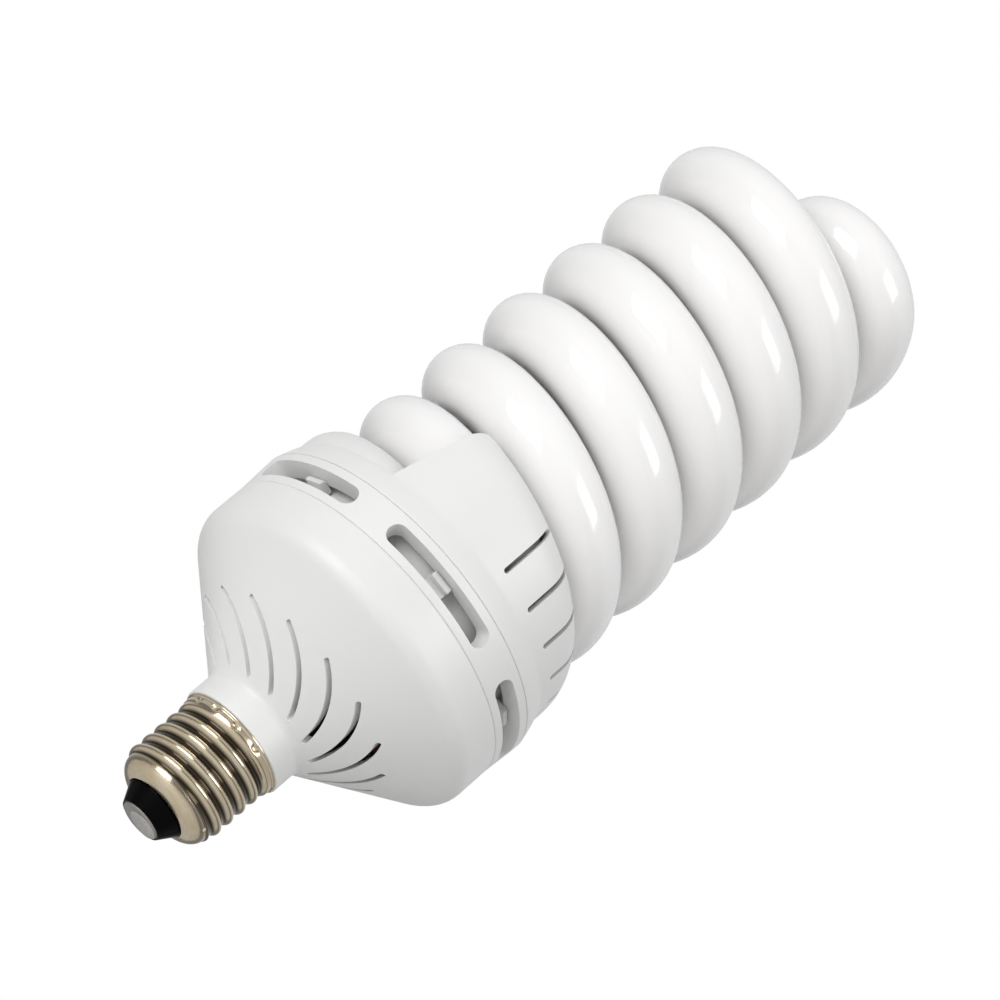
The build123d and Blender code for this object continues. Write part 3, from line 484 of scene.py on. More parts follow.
def wound_wire(name, direction):
    """Enamelled copper wire, wound in close turns: ribbed, with a varnished gloss.

    The ribs are drawn 3.14 mm apart, wider than the wire is thick, so that they show. At
    scale 1 the bands repeat every pi / 10.
    """
    base = colours()["copper"]
    material, tree, shader, place = start_material(name, Metallic=0.75, Roughness=0.32, Coat_Weight=0.6)
    inputs = {"Vector": place, "Scale": math.pi / 10 / (3.14 * MM), "Distortion": 0.4}
    bands = {"wave_type": "BANDS", "bands_direction": direction}
    turns = add_node(tree, "ShaderNodeTexWave", inputs, **bands).outputs["Fac"]
    # Painted shade and highlight: each band is darkened where the grooves between turns lie and lightened on
    # the turns' tops.
    tree.links.new(tint(tree, turns, shade(base, 0.35), shade(base, 1.2)), shader.inputs["Base Color"])
    raise_bump(tree, shader, turns, 0.12)
    return material


# Pieces


class BULB_OT_plastic(bpy.types.Operator):
    """Makes the plastic that the housing's three mouldings share"""

    bl_idname = "bulb.plastic"
    bl_label = "Housing Plastic"

    def execute(self, context):
        moulded_plastic()
        return {"FINISHED"}


def limb_slope(values):
    """Rise of a limb over its level run: the pitch over the length of one turn in plan."""
    return values["spiral_pitch"] / (2 * np.pi * values["spiral_radius"])


def limb(values, azimuth):
    """Centre line and unit tangent of the first limb at azimuths.

    It is a left-handed helix: its radius is the spiral's, and its height falls by one
    pitch as the azimuth grows by a turn.
    """
    height = LIMB_Z - azimuth * values["spiral_pitch"] / 360
    a = np.radians(azimuth)
    onward = np.stack([-np.cos(a), -np.sin(a), np.full(len(a), limb_slope(values))], axis=1)
    onward /= np.linalg.norm(onward, axis=1, keepdims=True)
    return polar(values["spiral_radius"], azimuth, height), onward


def tube_path(values, steps):
    """Centre line and tangent of half the tube, from a buried end to the top's middle.

    After the limb comes the crossing: a half circle in plan, half the spiral's radius in
    size. Its height rises as 3s - s cubed of the way s along it, so that its slope goes
    on from the limb's and falls to nothing at the axis.
    """
    path, onward = limb(values, np.linspace(LIMB_START, LIMB_END, steps))
    share = np.linspace(0, 1, steps // 10)[1:]
    end = math.radians(LIMB_END)
    outward = np.array([math.sin(end), -math.cos(end), 0])
    ahead = np.array([-math.cos(end), -math.sin(end), 0])
    upward = np.array([0, 0, 1])
    half = values["spiral_radius"] / 2
    rise = limb_slope(values) * np.pi * half * 2 / 3
    turn = np.pi * share
    bend = (
        outward * (half * (1 + np.cos(turn)))[:, None]
        + ahead * (half * np.sin(turn))[:, None]
        + upward * (path[-1, 2] + rise * (3 * share - share**3) / 2)[:, None]
    )
    lean = (
        ahead * (half * np.pi * np.cos(turn))[:, None]
        - outward * (half * np.pi * np.sin(turn))[:, None]
        + upward * (rise * (3 - 3 * share**2) / 2)[:, None]
    )
    lean /= np.linalg.norm(lean, axis=1, keepdims=True)
    return np.vstack([path, bend]), np.vstack([onward, lean])


def half_turn(points):
    """The points turned by 180 degrees about Z."""
    return points * np.array([-1.0, -1.0, 1.0])


def discharge_tube_surface(values):
    """The whole glass tube: circles along the path, with domed and nippled ends.

    The dome's radii and shifts follow a quarter circle, and the nipple is a short
    round-ended rod on it.
    """
    path, tangent = tube_path(values, 520)
    path = np.vstack([path, half_turn(path[-2::-1])])
    tangent = np.vstack([tangent, -half_turn(tangent[-2::-1])])
    tube = values["tube_radius"]
    angle = np.linspace(math.asin(STEM_RADIUS / tube), np.pi / 2, 12)[:-1]
    radii = np.concatenate([[1.5, 2.0, STEM_RADIUS, STEM_RADIUS], tube * np.sin(angle)])
    shifts = np.concatenate([-tube - np.array([STEM_LENGTH, 3.8, 3.4, 0.2]), -tube * np.cos(angle)])
    repeats = np.ones(len(path), dtype=int)
    repeats[[0, -1]] += len(radii)
    all_path, all_tangent = np.repeat(path, repeats, axis=0), np.repeat(tangent, repeats, axis=0)
    all_radii = np.concatenate([radii, np.full(len(path), tube), radii[::-1]])
    all_shifts = np.concatenate([shifts, np.zeros(len(path)), -shifts[::-1]])
    rings = swept(all_path, all_tangent, all_radii, all_shifts)
    poles = (path[0] + tangent[0] * shifts[0], path[-1] - tangent[-1] * shifts[0])
    return grid_surface(rings, first_pole=poles[0], last_pole=poles[1])


class BULB_OT_discharge_tube(bpy.types.Operator):
    """Makes the glass spiral"""

    bl_idname = "bulb.discharge_tube"
    bl_label = "Glass Spiral"

    def execute(self, context):
        tube = mesh_from("glass_spiral", discharge_tube_surface(sizes()))
        settle(tube, coated_glass(), ["discharge_tube"])
        return {"FINISHED"}


def shell_radius(values, azimuth, z):
    """Outer radius of the screw shell at an azimuth and a height.

    Below the thread it is a rounded nose, and above it a plain skirt with a flared rim.
    Between them each level is a circle off centre by half the thread's depth, which
    turns once in a pitch, so the wall's section is a row of round crests and roots.
    """
    depth, pitch = CAP["depth"], values["thread_pitch"]
    crest = values["thread_crest"]
    root, mean = crest - depth, crest - depth / 2
    low = CAP["nose_z"] + CAP["run_out"]
    high = low + CAP["turns"] * pitch
    share = np.clip((z - CAP["mouth_z"]) / (CAP["nose_z"] - CAP["mouth_z"]), 0, 1)
    nose = CAP["mouth"] + (root - CAP["mouth"]) * np.sqrt(1 - (1 - share) ** 2) ** 1.15
    turn = np.radians(azimuth + THREAD_AZIMUTH) - 2 * np.pi * (z - low) / pitch
    wave = np.cos(turn)
    wave = wave * (1.22 - 0.22 * wave**2)
    thread = mean + depth / 2 * wave
    start = np.clip((z - CAP["nose_z"]) / CAP["run_out"], 0, 1)
    start = start * start * (3 - 2 * start)
    end = np.clip((z - high) / CAP["run_out"], 0, 1)
    end = end * end * (3 - 2 * end)
    radius = nose + (thread - nose) * start
    radius = radius + (SKIRT_RADIUS - radius) * end
    flare = np.clip((z - RIM_Z + 2 * SKIRT_FLARE) / SKIRT_FLARE, 0, 1)
    return radius + SKIRT_FLARE * flare * flare * (3 - 2 * flare)


def screw_shell_surface(values):
    """The pressed shell: outer skin up, inner skin down, joined at mouth and rim.

    Punch marks that hold the shell on the housing are small round dents in the skirt.
    """
    azimuth = np.arange(256) * 360.0 / 256
    height = np.concatenate(
        [np.linspace(CAP["mouth_z"], CAP["nose_z"], 16)[:-1], np.linspace(CAP["nose_z"], RIM_Z, 172)]
    )
    outer = shell_radius(values, azimuth[None], height[:, None])
    for mark, mark_z in PUNCH_MARKS:
        turn = (azimuth - mark + 180) % 360 - 180
        across = np.radians(turn)[None] * SKIRT_RADIUS
        along = height[:, None] - mark_z
        outer = outer - 0.55 * np.exp(-((across / 0.75) ** 2) - (along / 0.5) ** 2)
    inner_height = np.linspace(RIM_Z, CAP["mouth_z"] + SHELL_WALL, 60)
    inner = shell_radius(values, azimuth[None], inner_height[:, None]) - SHELL_WALL
    radius = np.vstack([outer, inner])
    z = np.concatenate([height, inner_height])[:, None]
    points = polar(radius, azimuth[None], z)
    return grid_surface(points, wrap_rows=True, flip=True)


def domed_disc(profile, centre, steps, uneven):
    """A disc turned from its axis out, whose radius waves a little on the way round."""
    azimuth = np.arange(steps) * 360.0 / steps
    wave = np.sin(np.radians(azimuth * 3 + 20)) * 0.6 + np.sin(np.radians(azimuth * 5 + 80)) * 0.4
    radius = profile[:, :1] * (1 + uneven * wave[None])
    points = polar(radius, azimuth[None], profile[:, 1:]) + np.array([*centre, 0.0])
    first = (*centre, profile[0, 1])
    last = (*centre, profile[-1, 1])
    return grid_surface(points, first_pole=first, last_pole=last, flip=True)


class BULB_OT_screw_cap(bpy.types.Operator):
    """Makes the screw shell, the black insulator, the contact and its solder"""

    bl_idname = "bulb.screw_cap"
    bl_label = "Screw Cap"

    def execute(self, context):
        values = sizes()
        shell = mesh_from("plated_shell", screw_shell_surface(values))
        settle(shell, plated_brass(), ["screw_shell"], 60)
        cone = rounded(
            [(1.2, 1.4, 0), (5.2, 1.4, 0), (5.2, 0.8, 0.1), (5.5, 0.8, 0.15), (8.05, 5.2, 0.25)]
            + [(7.6, 5.2, 0), (7.6, 9.0, 0.2), (1.2, 9.0, 0)]
        )
        insulator = mesh_from("glass_cone", turned(refined(cone, 0.8), 128))
        settle(insulator, black_glass(), ["cap_insulator"])
        disc = np.array(
            [(0.3, 0.45), (4.55, 0.45), (4.8, 0.5), (5.02, 0.65)]
            + [(5.12, 0.85), (5.15, 1.05), (5.15, 1.4), (0.3, 1.4)]
        )
        contact = mesh_from("contact_disc", domed_disc(disc, (0, 0), 96, 0.0))
        brass = contact_metal("contact_brass_turned", "#A5A19D", 0.42, 0.65, 1.6, 0.05)
        settle(contact, brass, ["centre_contact"])
        drop = np.array(
            [(0.5, 0.0), (1.4, 0.0), (2.1, 0.01), (2.6, 0.06), (3.1, 0.14)]
            + [(3.5, 0.25), (3.78, 0.36), (3.86, 0.45), (0.5, 0.45)]
        )
        solder = mesh_from("solder_drop", domed_disc(drop, (1.1, 0), 96, 0.03))
        tin = contact_metal("tin_solder_set", colours()["solder"], 0.3, 0.55, 1.1, 0.06)
        settle(solder, tin, ["contact_solder"])
        return {"FINISHED"}


def slit_cutters(values):
    """Upright prisms on curved, round-ended slits.

    Each slit's middle line is the circle through three points of the cone's plan, and
    its outline is that line moved out by half the slit's width, closed by half circles.
    """
    p, q, r = polar(np.array(SLIT_RADII), np.array(SLIT_AZIMUTHS), 0)[:, :2]
    system = 2 * np.array([q - p, r - p])
    centre = np.linalg.solve(system, [q @ q - p @ p, r @ r - p @ p])
    radius = np.linalg.norm(p - centre)
    first, last = [math.atan2(*(point - centre)[::-1]) for point in (p, r)]
    if last - first > math.pi:
        last -= 2 * math.pi
    if first - last > math.pi:
        last += 2 * math.pi
    way = math.copysign(1, last - first)
    half = values["slit_width"] / 2
    line = np.linspace(first, last, 14)
    cap = np.linspace(0, np.pi, 8)[1:-1]

    def spot(distance, angle):
        return centre + np.stack([distance * np.cos(angle), distance * np.sin(angle)], axis=-1)

    start, end = spot(radius, np.array(first)), spot(radius, np.array(last))
    outer, inner = spot(radius + half, line), spot(radius - half, line[::-1])
    ahead, back = last + way * cap, first + np.pi + way * cap
    tip = end + half * np.stack([np.cos(ahead), np.sin(ahead)], axis=-1)
    tail = start + half * np.stack([np.cos(back), np.sin(back)], axis=-1)
    outline = np.vstack([outer, tip, inner, tail])
    outline = outline if way > 0 else outline[::-1]
    levels = np.broadcast_to(np.array(SLIT_HEIGHTS)[:, None, None], (2, len(outline), 1))
    surfaces = []
    for index in range(SLIT_COUNT):
        turn = math.radians(index * 360 / SLIT_COUNT)
        spin = np.array([[math.cos(turn), math.sin(turn)], [-math.sin(turn), math.cos(turn)]])
        plan = np.repeat((outline @ spin)[None], 2, axis=0)
        surfaces.append(prism(np.concatenate([plan, levels], axis=-1)))
    return joined(surfaces)


def housing_profile(values):
    """The rear housing's wall, from the neck in the cap up to the lip in the vent ring.

    The cone's inner side lies one wall inside it, measured square to the cone: along the
    radius that is the wall times the root of one plus the slope squared.
    """
    outside = values["housing_radius"]
    lip, lip_bore, ledge = outside - 4.7, outside - 6.7, outside - 8.9
    slope = math.tan(math.radians(CONE_ANGLE))
    skew = HOUSING_WALL * math.sqrt(1 + slope**2)
    cone_top = COLLAR_TOP_Z + (outside - COLLAR_RADIUS) / slope
    return rounded(
        [
            (NECK_BORE, NECK_Z, 0.3),
            (NECK_RADIUS, NECK_Z, 0.3),
            (NECK_RADIUS, COLLAR_FOOT_Z, 0),
            (COLLAR_RADIUS, COLLAR_FOOT_Z, 0.35),
            (COLLAR_RADIUS, COLLAR_TOP_Z, 2.5),
            (outside, cone_top, 5.5),
            (outside, SEAM_LOW_Z, 0.35),
            (lip, SEAM_LOW_Z, 0),
            (lip, SEAM_LOW_Z + 2.0, 0.2),
            (lip_bore, SEAM_LOW_Z + 2.0, 0.2),
            (lip_bore, 62.0, 0),
            (ledge, 62.0, 0.2),
            (ledge, 59.5, 0.2),
            (lip, 59.5, 0),
            (lip, 65.0, 0),
            (outside - HOUSING_WALL, 65.0, 0),
            (outside - HOUSING_WALL, cone_top + (skew - HOUSING_WALL) / slope, 3.5),
            (NECK_BORE, COLLAR_TOP_Z + (NECK_BORE + skew - COLLAR_RADIUS) / slope, 1.0),
        ]
    )


def tab_surface(values, azimuth):
    """A snap tab: its radial profile, with a hook, carried across its width."""
    outside = values["housing_radius"]
    profile = rounded(
        [
            (outside - 6.6, 69.0, 0),
            (outside - 4.8, 69.0, 0),
            (outside - 4.8, 73.2, 0),
            (outside - 2.7, 73.2, 0.25),
            (outside - 2.7, 74.4, 0.6),
            (outside - 3.4, 75.0, 0.2),
            (outside - 6.6, 75.3, 0.3),
        ]
    )
    across = np.array([-2.7, -2.45, -1.2, 0.0, 1.2, 2.45, 2.7])
    shrink = np.array([0.25, 0.0, 0.0, 0.0, 0.0, 0.0, 0.25])
    middle = profile.mean(axis=0)
    inward = (middle - profile) / np.linalg.norm(middle - profile, axis=1, keepdims=True)
    rows = profile[None] + inward[None] * shrink[:, None, None]
    out, along = level_axes(azimuth)
    points = rows[..., :1] * out + across[:, None, None] * along + rows[..., 1:] * np.array([0, 0, 1.0])
    return prism(points, flip=True)


class BULB_OT_rear_housing(bpy.types.Operator):
    """Makes the rear housing with its curved slits and snap tabs"""

    bl_idname = "bulb.rear_housing"
    bl_label = "Rear Housing"

    def execute(self, context):
        values = sizes()
        housing = mesh_from("cone_housing", turned(refined(housing_profile(values), 3.0)))
        cut(housing, slit_cutters(values), "slits")
        settle(housing, bpy.data.materials["abs_injection_moulded"], ["rear_housing"])
        turns = [VENT_AZIMUTH + index * 360 / VENT_COUNT for index in range(VENT_COUNT)]
        tabs = mesh_from("snap_tabs", joined([tab_surface(values, turn) for turn in turns]))
        settle(tabs, bpy.data.materials["abs_injection_moulded"])
        return {"FINISHED"}


def vent_cutters(values):
    """Round-ended slots through the ring: an outline in arc and height, moved outwards."""
    cap_points, side_points = 17, 38
    half_height = values["vent_height"] / 2
    swing = math.degrees(half_height / values["housing_radius"])
    end = VENT_ARC / 2 - swing
    cap = np.linspace(-np.pi / 2, np.pi / 2, cap_points)
    line = np.linspace(-end, end, side_points + 2)[1:-1]
    side = np.full(side_points, half_height)
    arcs = np.concatenate([end + swing * np.cos(cap), line[::-1], -end - swing * np.cos(cap), line])
    rises = np.concatenate([half_height * np.sin(cap), side, -half_height * np.sin(cap), -side])
    middle = VENT_LOW_Z + half_height
    radii = values["housing_radius"] + np.array([-6.5, -3.5, -0.5, 2.5])
    surfaces = []
    for index in range(VENT_COUNT):
        turn = VENT_AZIMUTH + index * 360 / VENT_COUNT
        points = polar(radii[:, None], (turn + arcs)[None], (middle + rises)[None])
        vertices, faces = grid_surface(points)
        ring = list(range(len(arcs)))
        last = [corner + (len(radii) - 1) * len(arcs) for corner in ring]
        faces += [face[::-1] for face in vent_lid(ring, cap_points, side_points)]
        faces += vent_lid(last, cap_points, side_points)
        surfaces.append((vertices, faces))
    return joined(surfaces)


def vent_lid(ring, cap, side):
    """Faces that close one end of a slot: quads between its long sides, and two end fans."""
    top, bottom = ring[cap : cap + side], ring[2 * cap + side :][::-1]
    lid = [[top[i], top[i + 1], bottom[i + 1], bottom[i]] for i in range(side - 1)]
    lid.append(ring[:cap] + [top[0], bottom[0]])
    lid.append(ring[cap + side : 2 * cap + side] + [bottom[-1], top[-1]])
    return lid


class BULB_OT_vent_ring(bpy.types.Operator):
    """Makes the thick ring with six vents"""

    bl_idname = "bulb.vent_ring"
    bl_label = "Vent Ring"

    def execute(self, context):
        values = sizes()
        outside = values["housing_radius"]
        low = [(outside - 4.5, SEAM_LOW_Z, 0.2), (outside, SEAM_LOW_Z, 0.35)]
        high = [(outside + RING_FLARE, SEAM_HIGH_Z, 0.35), (outside - 4.5, SEAM_HIGH_Z, 0.2)]
        ring = mesh_from("vented_ring", turned(refined(rounded(low + high), 1.5), 288))
        cut(ring, vent_cutters(values), "vents")
        settle(ring, bpy.data.materials["abs_injection_moulded"], ["vent_ring"])
        return {"FINISHED"}


def holder_skin(values, inset, drop, step, hub_outer=None):
    """One skin of the tube holder, from its hub's centre out and down to the wall's foot.

    The inner skin lies an inset inside the outer one and a drop below it.

    At a radius, height rises with falling azimuth at the spiral's own rate, for half a
    turn, and then drops down a plane square to the tube: there the sine of the azimuth's
    shift is the height above the low ramp, times the tube's slope, over the radius.
    """
    wall_radius = values["housing_radius"] - HOLDER_INSET - inset
    hub_radius, hub_z, shoulder = HUB_RADIUS - inset, HUB_Z - inset, SHOULDER - inset
    rise = values["spiral_pitch"] / 360
    slope = limb_slope(values)
    low_z = LIMB_Z - (step + 180) * rise + values["tube_radius"] + RAMP_LIFT - drop
    bend = np.linspace(0, np.pi / 2, 9)
    flat = wall_radius - shoulder
    radii = np.concatenate([np.linspace(hub_radius, flat, 14), flat + shoulder * np.sin(bend[1:])])
    drops = np.concatenate([np.zeros(14), shoulder * (np.cos(bend[1:]) - 1)]) * math.sqrt(1 + slope**2)

    def edge(height):
        shift = np.zeros(len(radii))
        for _ in range(6):
            shift = np.degrees(np.arcsin((height + drops - rise * shift) * slope / radii))
        return shift, height + drops - rise * shift

    low_shift, low_rise = edge(0.0)
    high_shift, high_rise = edge(180 * rise)
    ramp = np.linspace(0, 1, 91)[None]
    azimuth = (step + low_shift)[:, None] * (1 - ramp) + (step - 180 + high_shift)[:, None] * ramp
    z = low_rise[:, None] * (1 - ramp) + high_rise[:, None] * ramp
    fall = np.linspace(0, 1, 16)[None, 1:-1]
    fall_z = high_rise[:, None] * (1 - fall) + low_rise[:, None] * fall
    fall_shift = np.degrees(np.arcsin(fall_z * slope / radii[:, None]))
    azimuth = np.hstack([azimuth, step - 180 + fall_shift])
    z = np.hstack([z, fall_z]) + low_z
    azimuth = np.hstack([azimuth, azimuth - 180])
    z = np.hstack([z, z])
    radius = np.broadcast_to(radii[:, None], z.shape).copy()
    if hub_outer:
        radius[0] = np.where(z[0] < hub_z, hub_radius, hub_outer)
    hub = np.stack([radius[0], azimuth[0], np.full(z.shape[1], hub_z)], axis=-1)
    inner = hub * np.array([0.5, 1, 1])
    skin = np.stack([radius, azimuth, z], axis=-1)
    return np.concatenate([inner[None], hub[None], skin])


def holder_surface(values):
    """The stepped tube holder: outer skin, flange, spigot and inner skin, all one grid."""
    outside = values["housing_radius"]
    wall_radius = outside - HOLDER_INSET
    outer = holder_skin(values, 0.0, 0.0, STEP_AZIMUTH)
    inner = holder_skin(values, HOLDER_WALL, 1.0, STEP_AZIMUTH + 4, HUB_RADIUS + HOLDER_WALL)
    foot, inner_foot = outer[-1], inner[-1]

    def level(radius, z):
        row = foot.copy()
        row[:, 0], row[:, 2] = radius, z
        return row

    taper_top = TAPER_Z + TAPER_HEIGHT
    wall = []
    for part in np.linspace(0, 1, 14)[1:]:
        row = foot.copy()
        row[:, 2] = np.maximum(foot[:, 2] + (taper_top - foot[:, 2]) * part, 77.9)
        wall.append(row)
    taper = [
        level(wall_radius + TAPER_WIDTH * (1 - (z - TAPER_Z) / TAPER_HEIGHT) ** 0.8, z)
        for z in np.linspace(taper_top, TAPER_Z, 7)[1:]
    ]
    rim = outside + RING_FLARE
    flange = [level(rim, 77.6), level(rim - 0.1, 77.45), level(rim - 0.3, SEAM_HIGH_Z)]
    spigot, bore = outside - 7.0, outside - 9.0
    skirt = [(spigot + 0.2, SEAM_HIGH_Z), (spigot, 77.2), (spigot, 64.2), (spigot - 0.2, 64.0)]
    skirt += [(bore + 0.2, 64.0), (bore, 64.2), (bore, HOLDER_FLOOR_Z)]
    skirt.append((wall_radius - HOLDER_WALL, HOLDER_FLOOR_Z))
    flange += [level(*spot) for spot in skirt]
    inner_wall = []
    for part in np.linspace(0, 1, 8)[1:-1]:
        row = inner_foot.copy()
        row[:, 2] = HOLDER_FLOOR_Z + (inner_foot[:, 2] - HOLDER_FLOOR_Z) * part
        inner_wall.append(row)
    rows = np.concatenate([outer, wall, taper, flange, inner_wall, inner[::-1]])
    points = polar(rows[..., 0], rows[..., 1], rows[..., 2])
    return grid_surface(points, first_pole=(0, 0, HUB_Z), last_pole=(0, 0, HUB_Z - HOLDER_WALL))


def gill_cutters(values):
    """Two rows of upright slots: a round-footed outline in width and height, moved outwards."""
    half = values["gill_width"] / 2
    foot = np.linspace(np.pi, 2 * np.pi, 9)
    across = np.concatenate([half * np.cos(foot), [half, -half]])
    height = np.concatenate([GILL_FOOT_Z + half + half * np.sin(foot), [GILL_TOP_Z, GILL_TOP_Z]])
    surfaces = []
    for turn in [sector + index * GILL_SPACING for sector in (0, 180) for index in range(1, 7)]:
        out, along = level_axes(turn)
        plan = across[:, None] * along + height[:, None] * np.array([0, 0, 1.0])
        outside = values["housing_radius"]
        surfaces.append(prism(np.stack([plan + out * (outside - 6.4), plan + out * (outside + 5.5)])))
    return joined(surfaces)


def hole_cutter(values):
    """Short lengths of tube, a little fatter than the glass, that cut the step walls."""
    path, onward = limb(values, np.linspace(STEP_AZIMUTH + 12, STEP_AZIMUTH - 12, 25))
    radii = np.full(len(path), values["tube_radius"] + 0.2)
    surfaces = []
    for centre, ahead in ((path, onward), (half_turn(path), half_turn(onward))):
        rings = swept(centre, ahead, radii, np.zeros(len(path)), 64)
        surfaces.append(grid_surface(rings, first_pole=centre[0], last_pole=centre[-1]))
    return joined(surfaces)


class BULB_OT_tube_holder(bpy.types.Operator):
    """Makes the stepped tube holder with its gills"""

    bl_idname = "bulb.tube_holder"
    bl_label = "Tube Holder"

    def execute(self, context):
        values = sizes()
        holder = mesh_from("stepped_holder", holder_surface(values))
        cut(holder, hole_cutter(values), "tube_holes")
        cut(holder, gill_cutters(values), "gills")
        settle(holder, bpy.data.materials["abs_injection_moulded"], ["tube_holder"])
        return {"FINISHED"}


class BULB_OT_ballast(bpy.types.Operator):
    """Gives the ballast's inner pieces their finishes"""

    bl_idname = "bulb.ballast"
    bl_label = "Ballast Parts"

    def execute(self, context):
        rows = (
            ("tube_cement", "cement_cast", "#DAD3C4", 0.85, 0.5, 0.12, {}),
            ("circuit_board", "paper_laminate_pressed", colours()["board"], 0.55, 0.4, 0.02, {}),
            ("ballast_core filter_choke_core drive_core", "ferrite_sintered", "#26262A", 0.6, 0.3, 0.04, {}),
            ("ballast_bobbin", "nylon_bobbin_moulded", "#1B1B1B", 0.45, 0.3, 0.02, {}),
            ("bulk_capacitor", "pvc_sleeve_shrunk", "#14171F", 0.25, 0.8, 0.02, {"coat": 0.4}),
            ("resonant_capacitor", "epoxy_dipped", "#7C1F14", 0.22, 1.2, 0.08, {"coat": 0.6}),
            ("transistors rectifier_diodes", "epoxy_compound_moulded", "#141414", 0.5, 0.2, 0.02, {}),
            ("heat_sink", "aluminium_rolled", "#B9BBBD", 0.34, 0.5, 0.02, {"metallic": 1.0}),
            ("resistors fuse", "lacquer_dipped", "#B39B6A", 0.3, 0.6, 0.04, {"coat": 0.3}),
            ("thermistor", "phenolic_dipped", "#24402A", 0.45, 0.7, 0.05, {}),
            ("wire_posts filament_leads", "tinned_copper_drawn", "#B4B4B2", 0.3, 0.4, 0.02, {"metallic": 1.0}),
            ("shell_lead contact_lead", "glass_fibre_sleeve_braided", "#D8D5CA", 0.75, 0.5, 0.1, {}),
        )
        finishes = [(names, plain_finish(*look, **extra)) for names, *look, extra in rows]
        finishes.append(("coupling_capacitor filter_capacitor", bpy.data.materials["epoxy_dipped"]))
        flat_wound = wound_wire("enamelled_copper_wound_flat", "Z")
        finishes.append(("ballast_winding filter_choke_winding", flat_wound))
        finishes.append(("drive_windings", wound_wire("enamelled_copper_wound_ring", "X")))
        for names, material in finishes:
            for name in names.split():
                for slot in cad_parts[name].material_slots:
                    slot.material = material
        return {"FINISHED"}


# Studio

CAMERA_PLACE = Vector((0.0, -0.74478, -0.23168))
CAMERA_TURN = tuple(math.radians(angle) for angle in (125.6355, -43.6002, -26.1369))
CAMERA_LENS, CAMERA_SENSOR = 129.6, 36.0
FLOOR_Z, FLOOR_REACH = -1000.0, 4000.0


def soft_light(name, seen_from_camera, aim, size, power, camera):
    """An area light at a place given in the camera's own axes, in metres from its aim."""
    data = bpy.data.lights.new(name, "AREA")
    data.shape, data.size, data.energy = "SQUARE", size, power
    light = bpy.data.objects.new(name, data)
    bpy.context.scene.collection.objects.link(light)
    offset = camera.matrix_basis.to_3x3() @ Vector(seen_from_camera)
    light.location = aim + offset
    light.rotation_euler = (-offset).to_track_quat("-Z", "Y").to_euler()


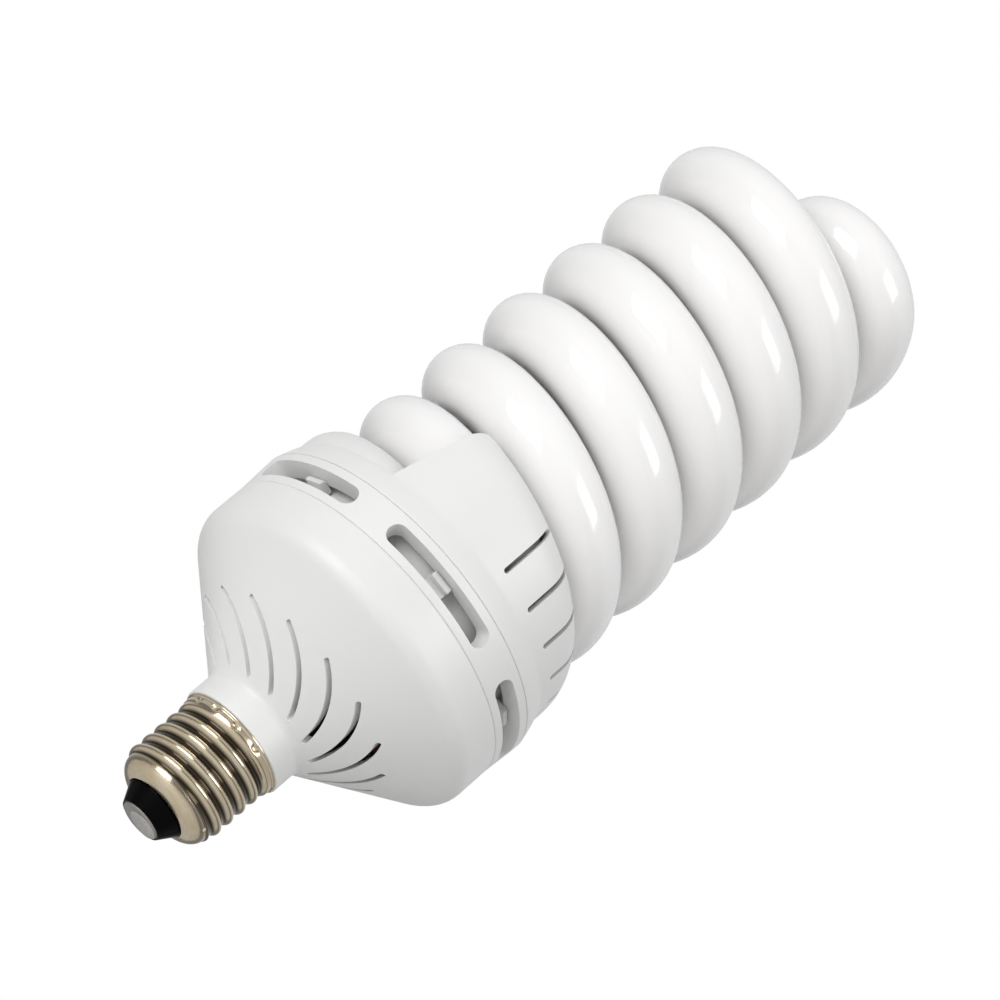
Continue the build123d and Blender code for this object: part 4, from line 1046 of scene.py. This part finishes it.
class BULB_OT_studio(bpy.types.Operator):
    """Makes the camera, the soft lights, the white surround and the pale floor"""

    bl_idname = "bulb.studio"
    bl_label = "Studio"

    def execute(self, context):
        scene = context.scene
        data = bpy.data.cameras.new("camera")
        data.lens, data.sensor_width, data.sensor_fit = CAMERA_LENS, CAMERA_SENSOR, "HORIZONTAL"
        data.clip_start, data.clip_end = 0.01, 50.0
        camera = bpy.data.objects.new("camera", data)
        scene.collection.objects.link(camera)
        camera.location, camera.rotation_euler = CAMERA_PLACE, CAMERA_TURN
        scene.camera = camera
        aim = Vector((0.0, 0.0, 0.11))
        soft_light("key_light", (-0.6, 1.15, 1.4), aim, 1.2, 20.5, camera)
        soft_light("side_light", (1.5, 0.1, 0.9), aim, 0.9, 9.0, camera)
        corners = np.array([[-1, -1, 0], [1, -1, 0], [1, 1, 0], [-1, 1, 0]]) * FLOOR_REACH + [0, 0, FLOOR_Z]
        floor = mesh_from("floor", (corners, [[0, 1, 2, 3]]))
        floor.data.materials.append(plain_finish("painted_floor", "#EDEDEB", 0.7, 4.0, 0.05, contrast=0.02))
        world = bpy.data.worlds.new("surround")
        scene.world = world
        world.use_nodes = True
        tree = world.node_tree
        tree.nodes.clear()
        seen = add_node(tree, "ShaderNodeBackground", {"Color": (1, 1, 1, 1), "Strength": 1.0})
        way = add_node(tree, "ShaderNodeTexCoord").outputs["Generated"]
        height = add_node(tree, "ShaderNodeSeparateXYZ", {0: way}).outputs["Z"]
        limits = {"Value": height, "From Min": 0.0, "From Max": 0.45, "To Min": 0.24, "To Max": 0.7}
        band = add_node(tree, "ShaderNodeMapRange", limits, interpolation_type="SMOOTHSTEP")
        sky = {"Color": (0.99, 0.995, 1, 1), "Strength": band.outputs["Result"]}
        lit = add_node(tree, "ShaderNodeBackground", sky)
        ray = add_node(tree, "ShaderNodeLightPath").outputs["Is Camera Ray"]
        mix = add_node(tree, "ShaderNodeMixShader", {0: ray, 1: lit.outputs[0], 2: seen.outputs[0]})
        add_node(tree, "ShaderNodeOutputWorld", {"Surface": mix.outputs[0]})
        scene.view_settings.view_transform = "Standard"
        return {"FINISHED"}


class BULB_PT_panel(bpy.types.Panel):
    """Lists the bulb's sizes, colours and operators"""

    bl_idname = "BULB_PT_panel"
    bl_label = "Spiral Bulb"
    bl_space_type = "VIEW_3D"
    bl_region_type = "UI"
    bl_category = "Bulb"

    def draw(self, context):
        for group in (context.scene.bulb_sizes, context.scene.bulb_colours):
            for key in group.bl_rna.properties.keys():
                if key not in ("name", "rna_type"):
                    self.layout.prop(group, key)
        for operator in OPERATORS:
            self.layout.operator(operator.bl_idname)


OPERATORS = (
    BULB_OT_plastic,
    BULB_OT_discharge_tube,
    BULB_OT_screw_cap,
    BULB_OT_rear_housing,
    BULB_OT_vent_ring,
    BULB_OT_tube_holder,
    BULB_OT_ballast,
    BULB_OT_studio,
)
CLASSES = (BulbSizes, BulbColours, *OPERATORS, BULB_PT_panel)


def register():
    """Registers the classes and puts the settings on the scene."""
    for made in CLASSES:
        bpy.utils.register_class(made)
    bpy.types.Scene.bulb_sizes = PointerProperty(type=BulbSizes)
    bpy.types.Scene.bulb_colours = PointerProperty(type=BulbColours)


def unregister():
    """Takes the settings off the scene and unregisters the classes."""
    del bpy.types.Scene.bulb_sizes
    del bpy.types.Scene.bulb_colours
    for made in reversed(CLASSES):
        bpy.utils.unregister_class(made)


def main():
    """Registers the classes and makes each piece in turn."""
    register()
    for operator in OPERATORS:
        category, name = operator.bl_idname.split(".")
        getattr(getattr(bpy.ops, category), name)()


if __name__ == "__main__":
    main()
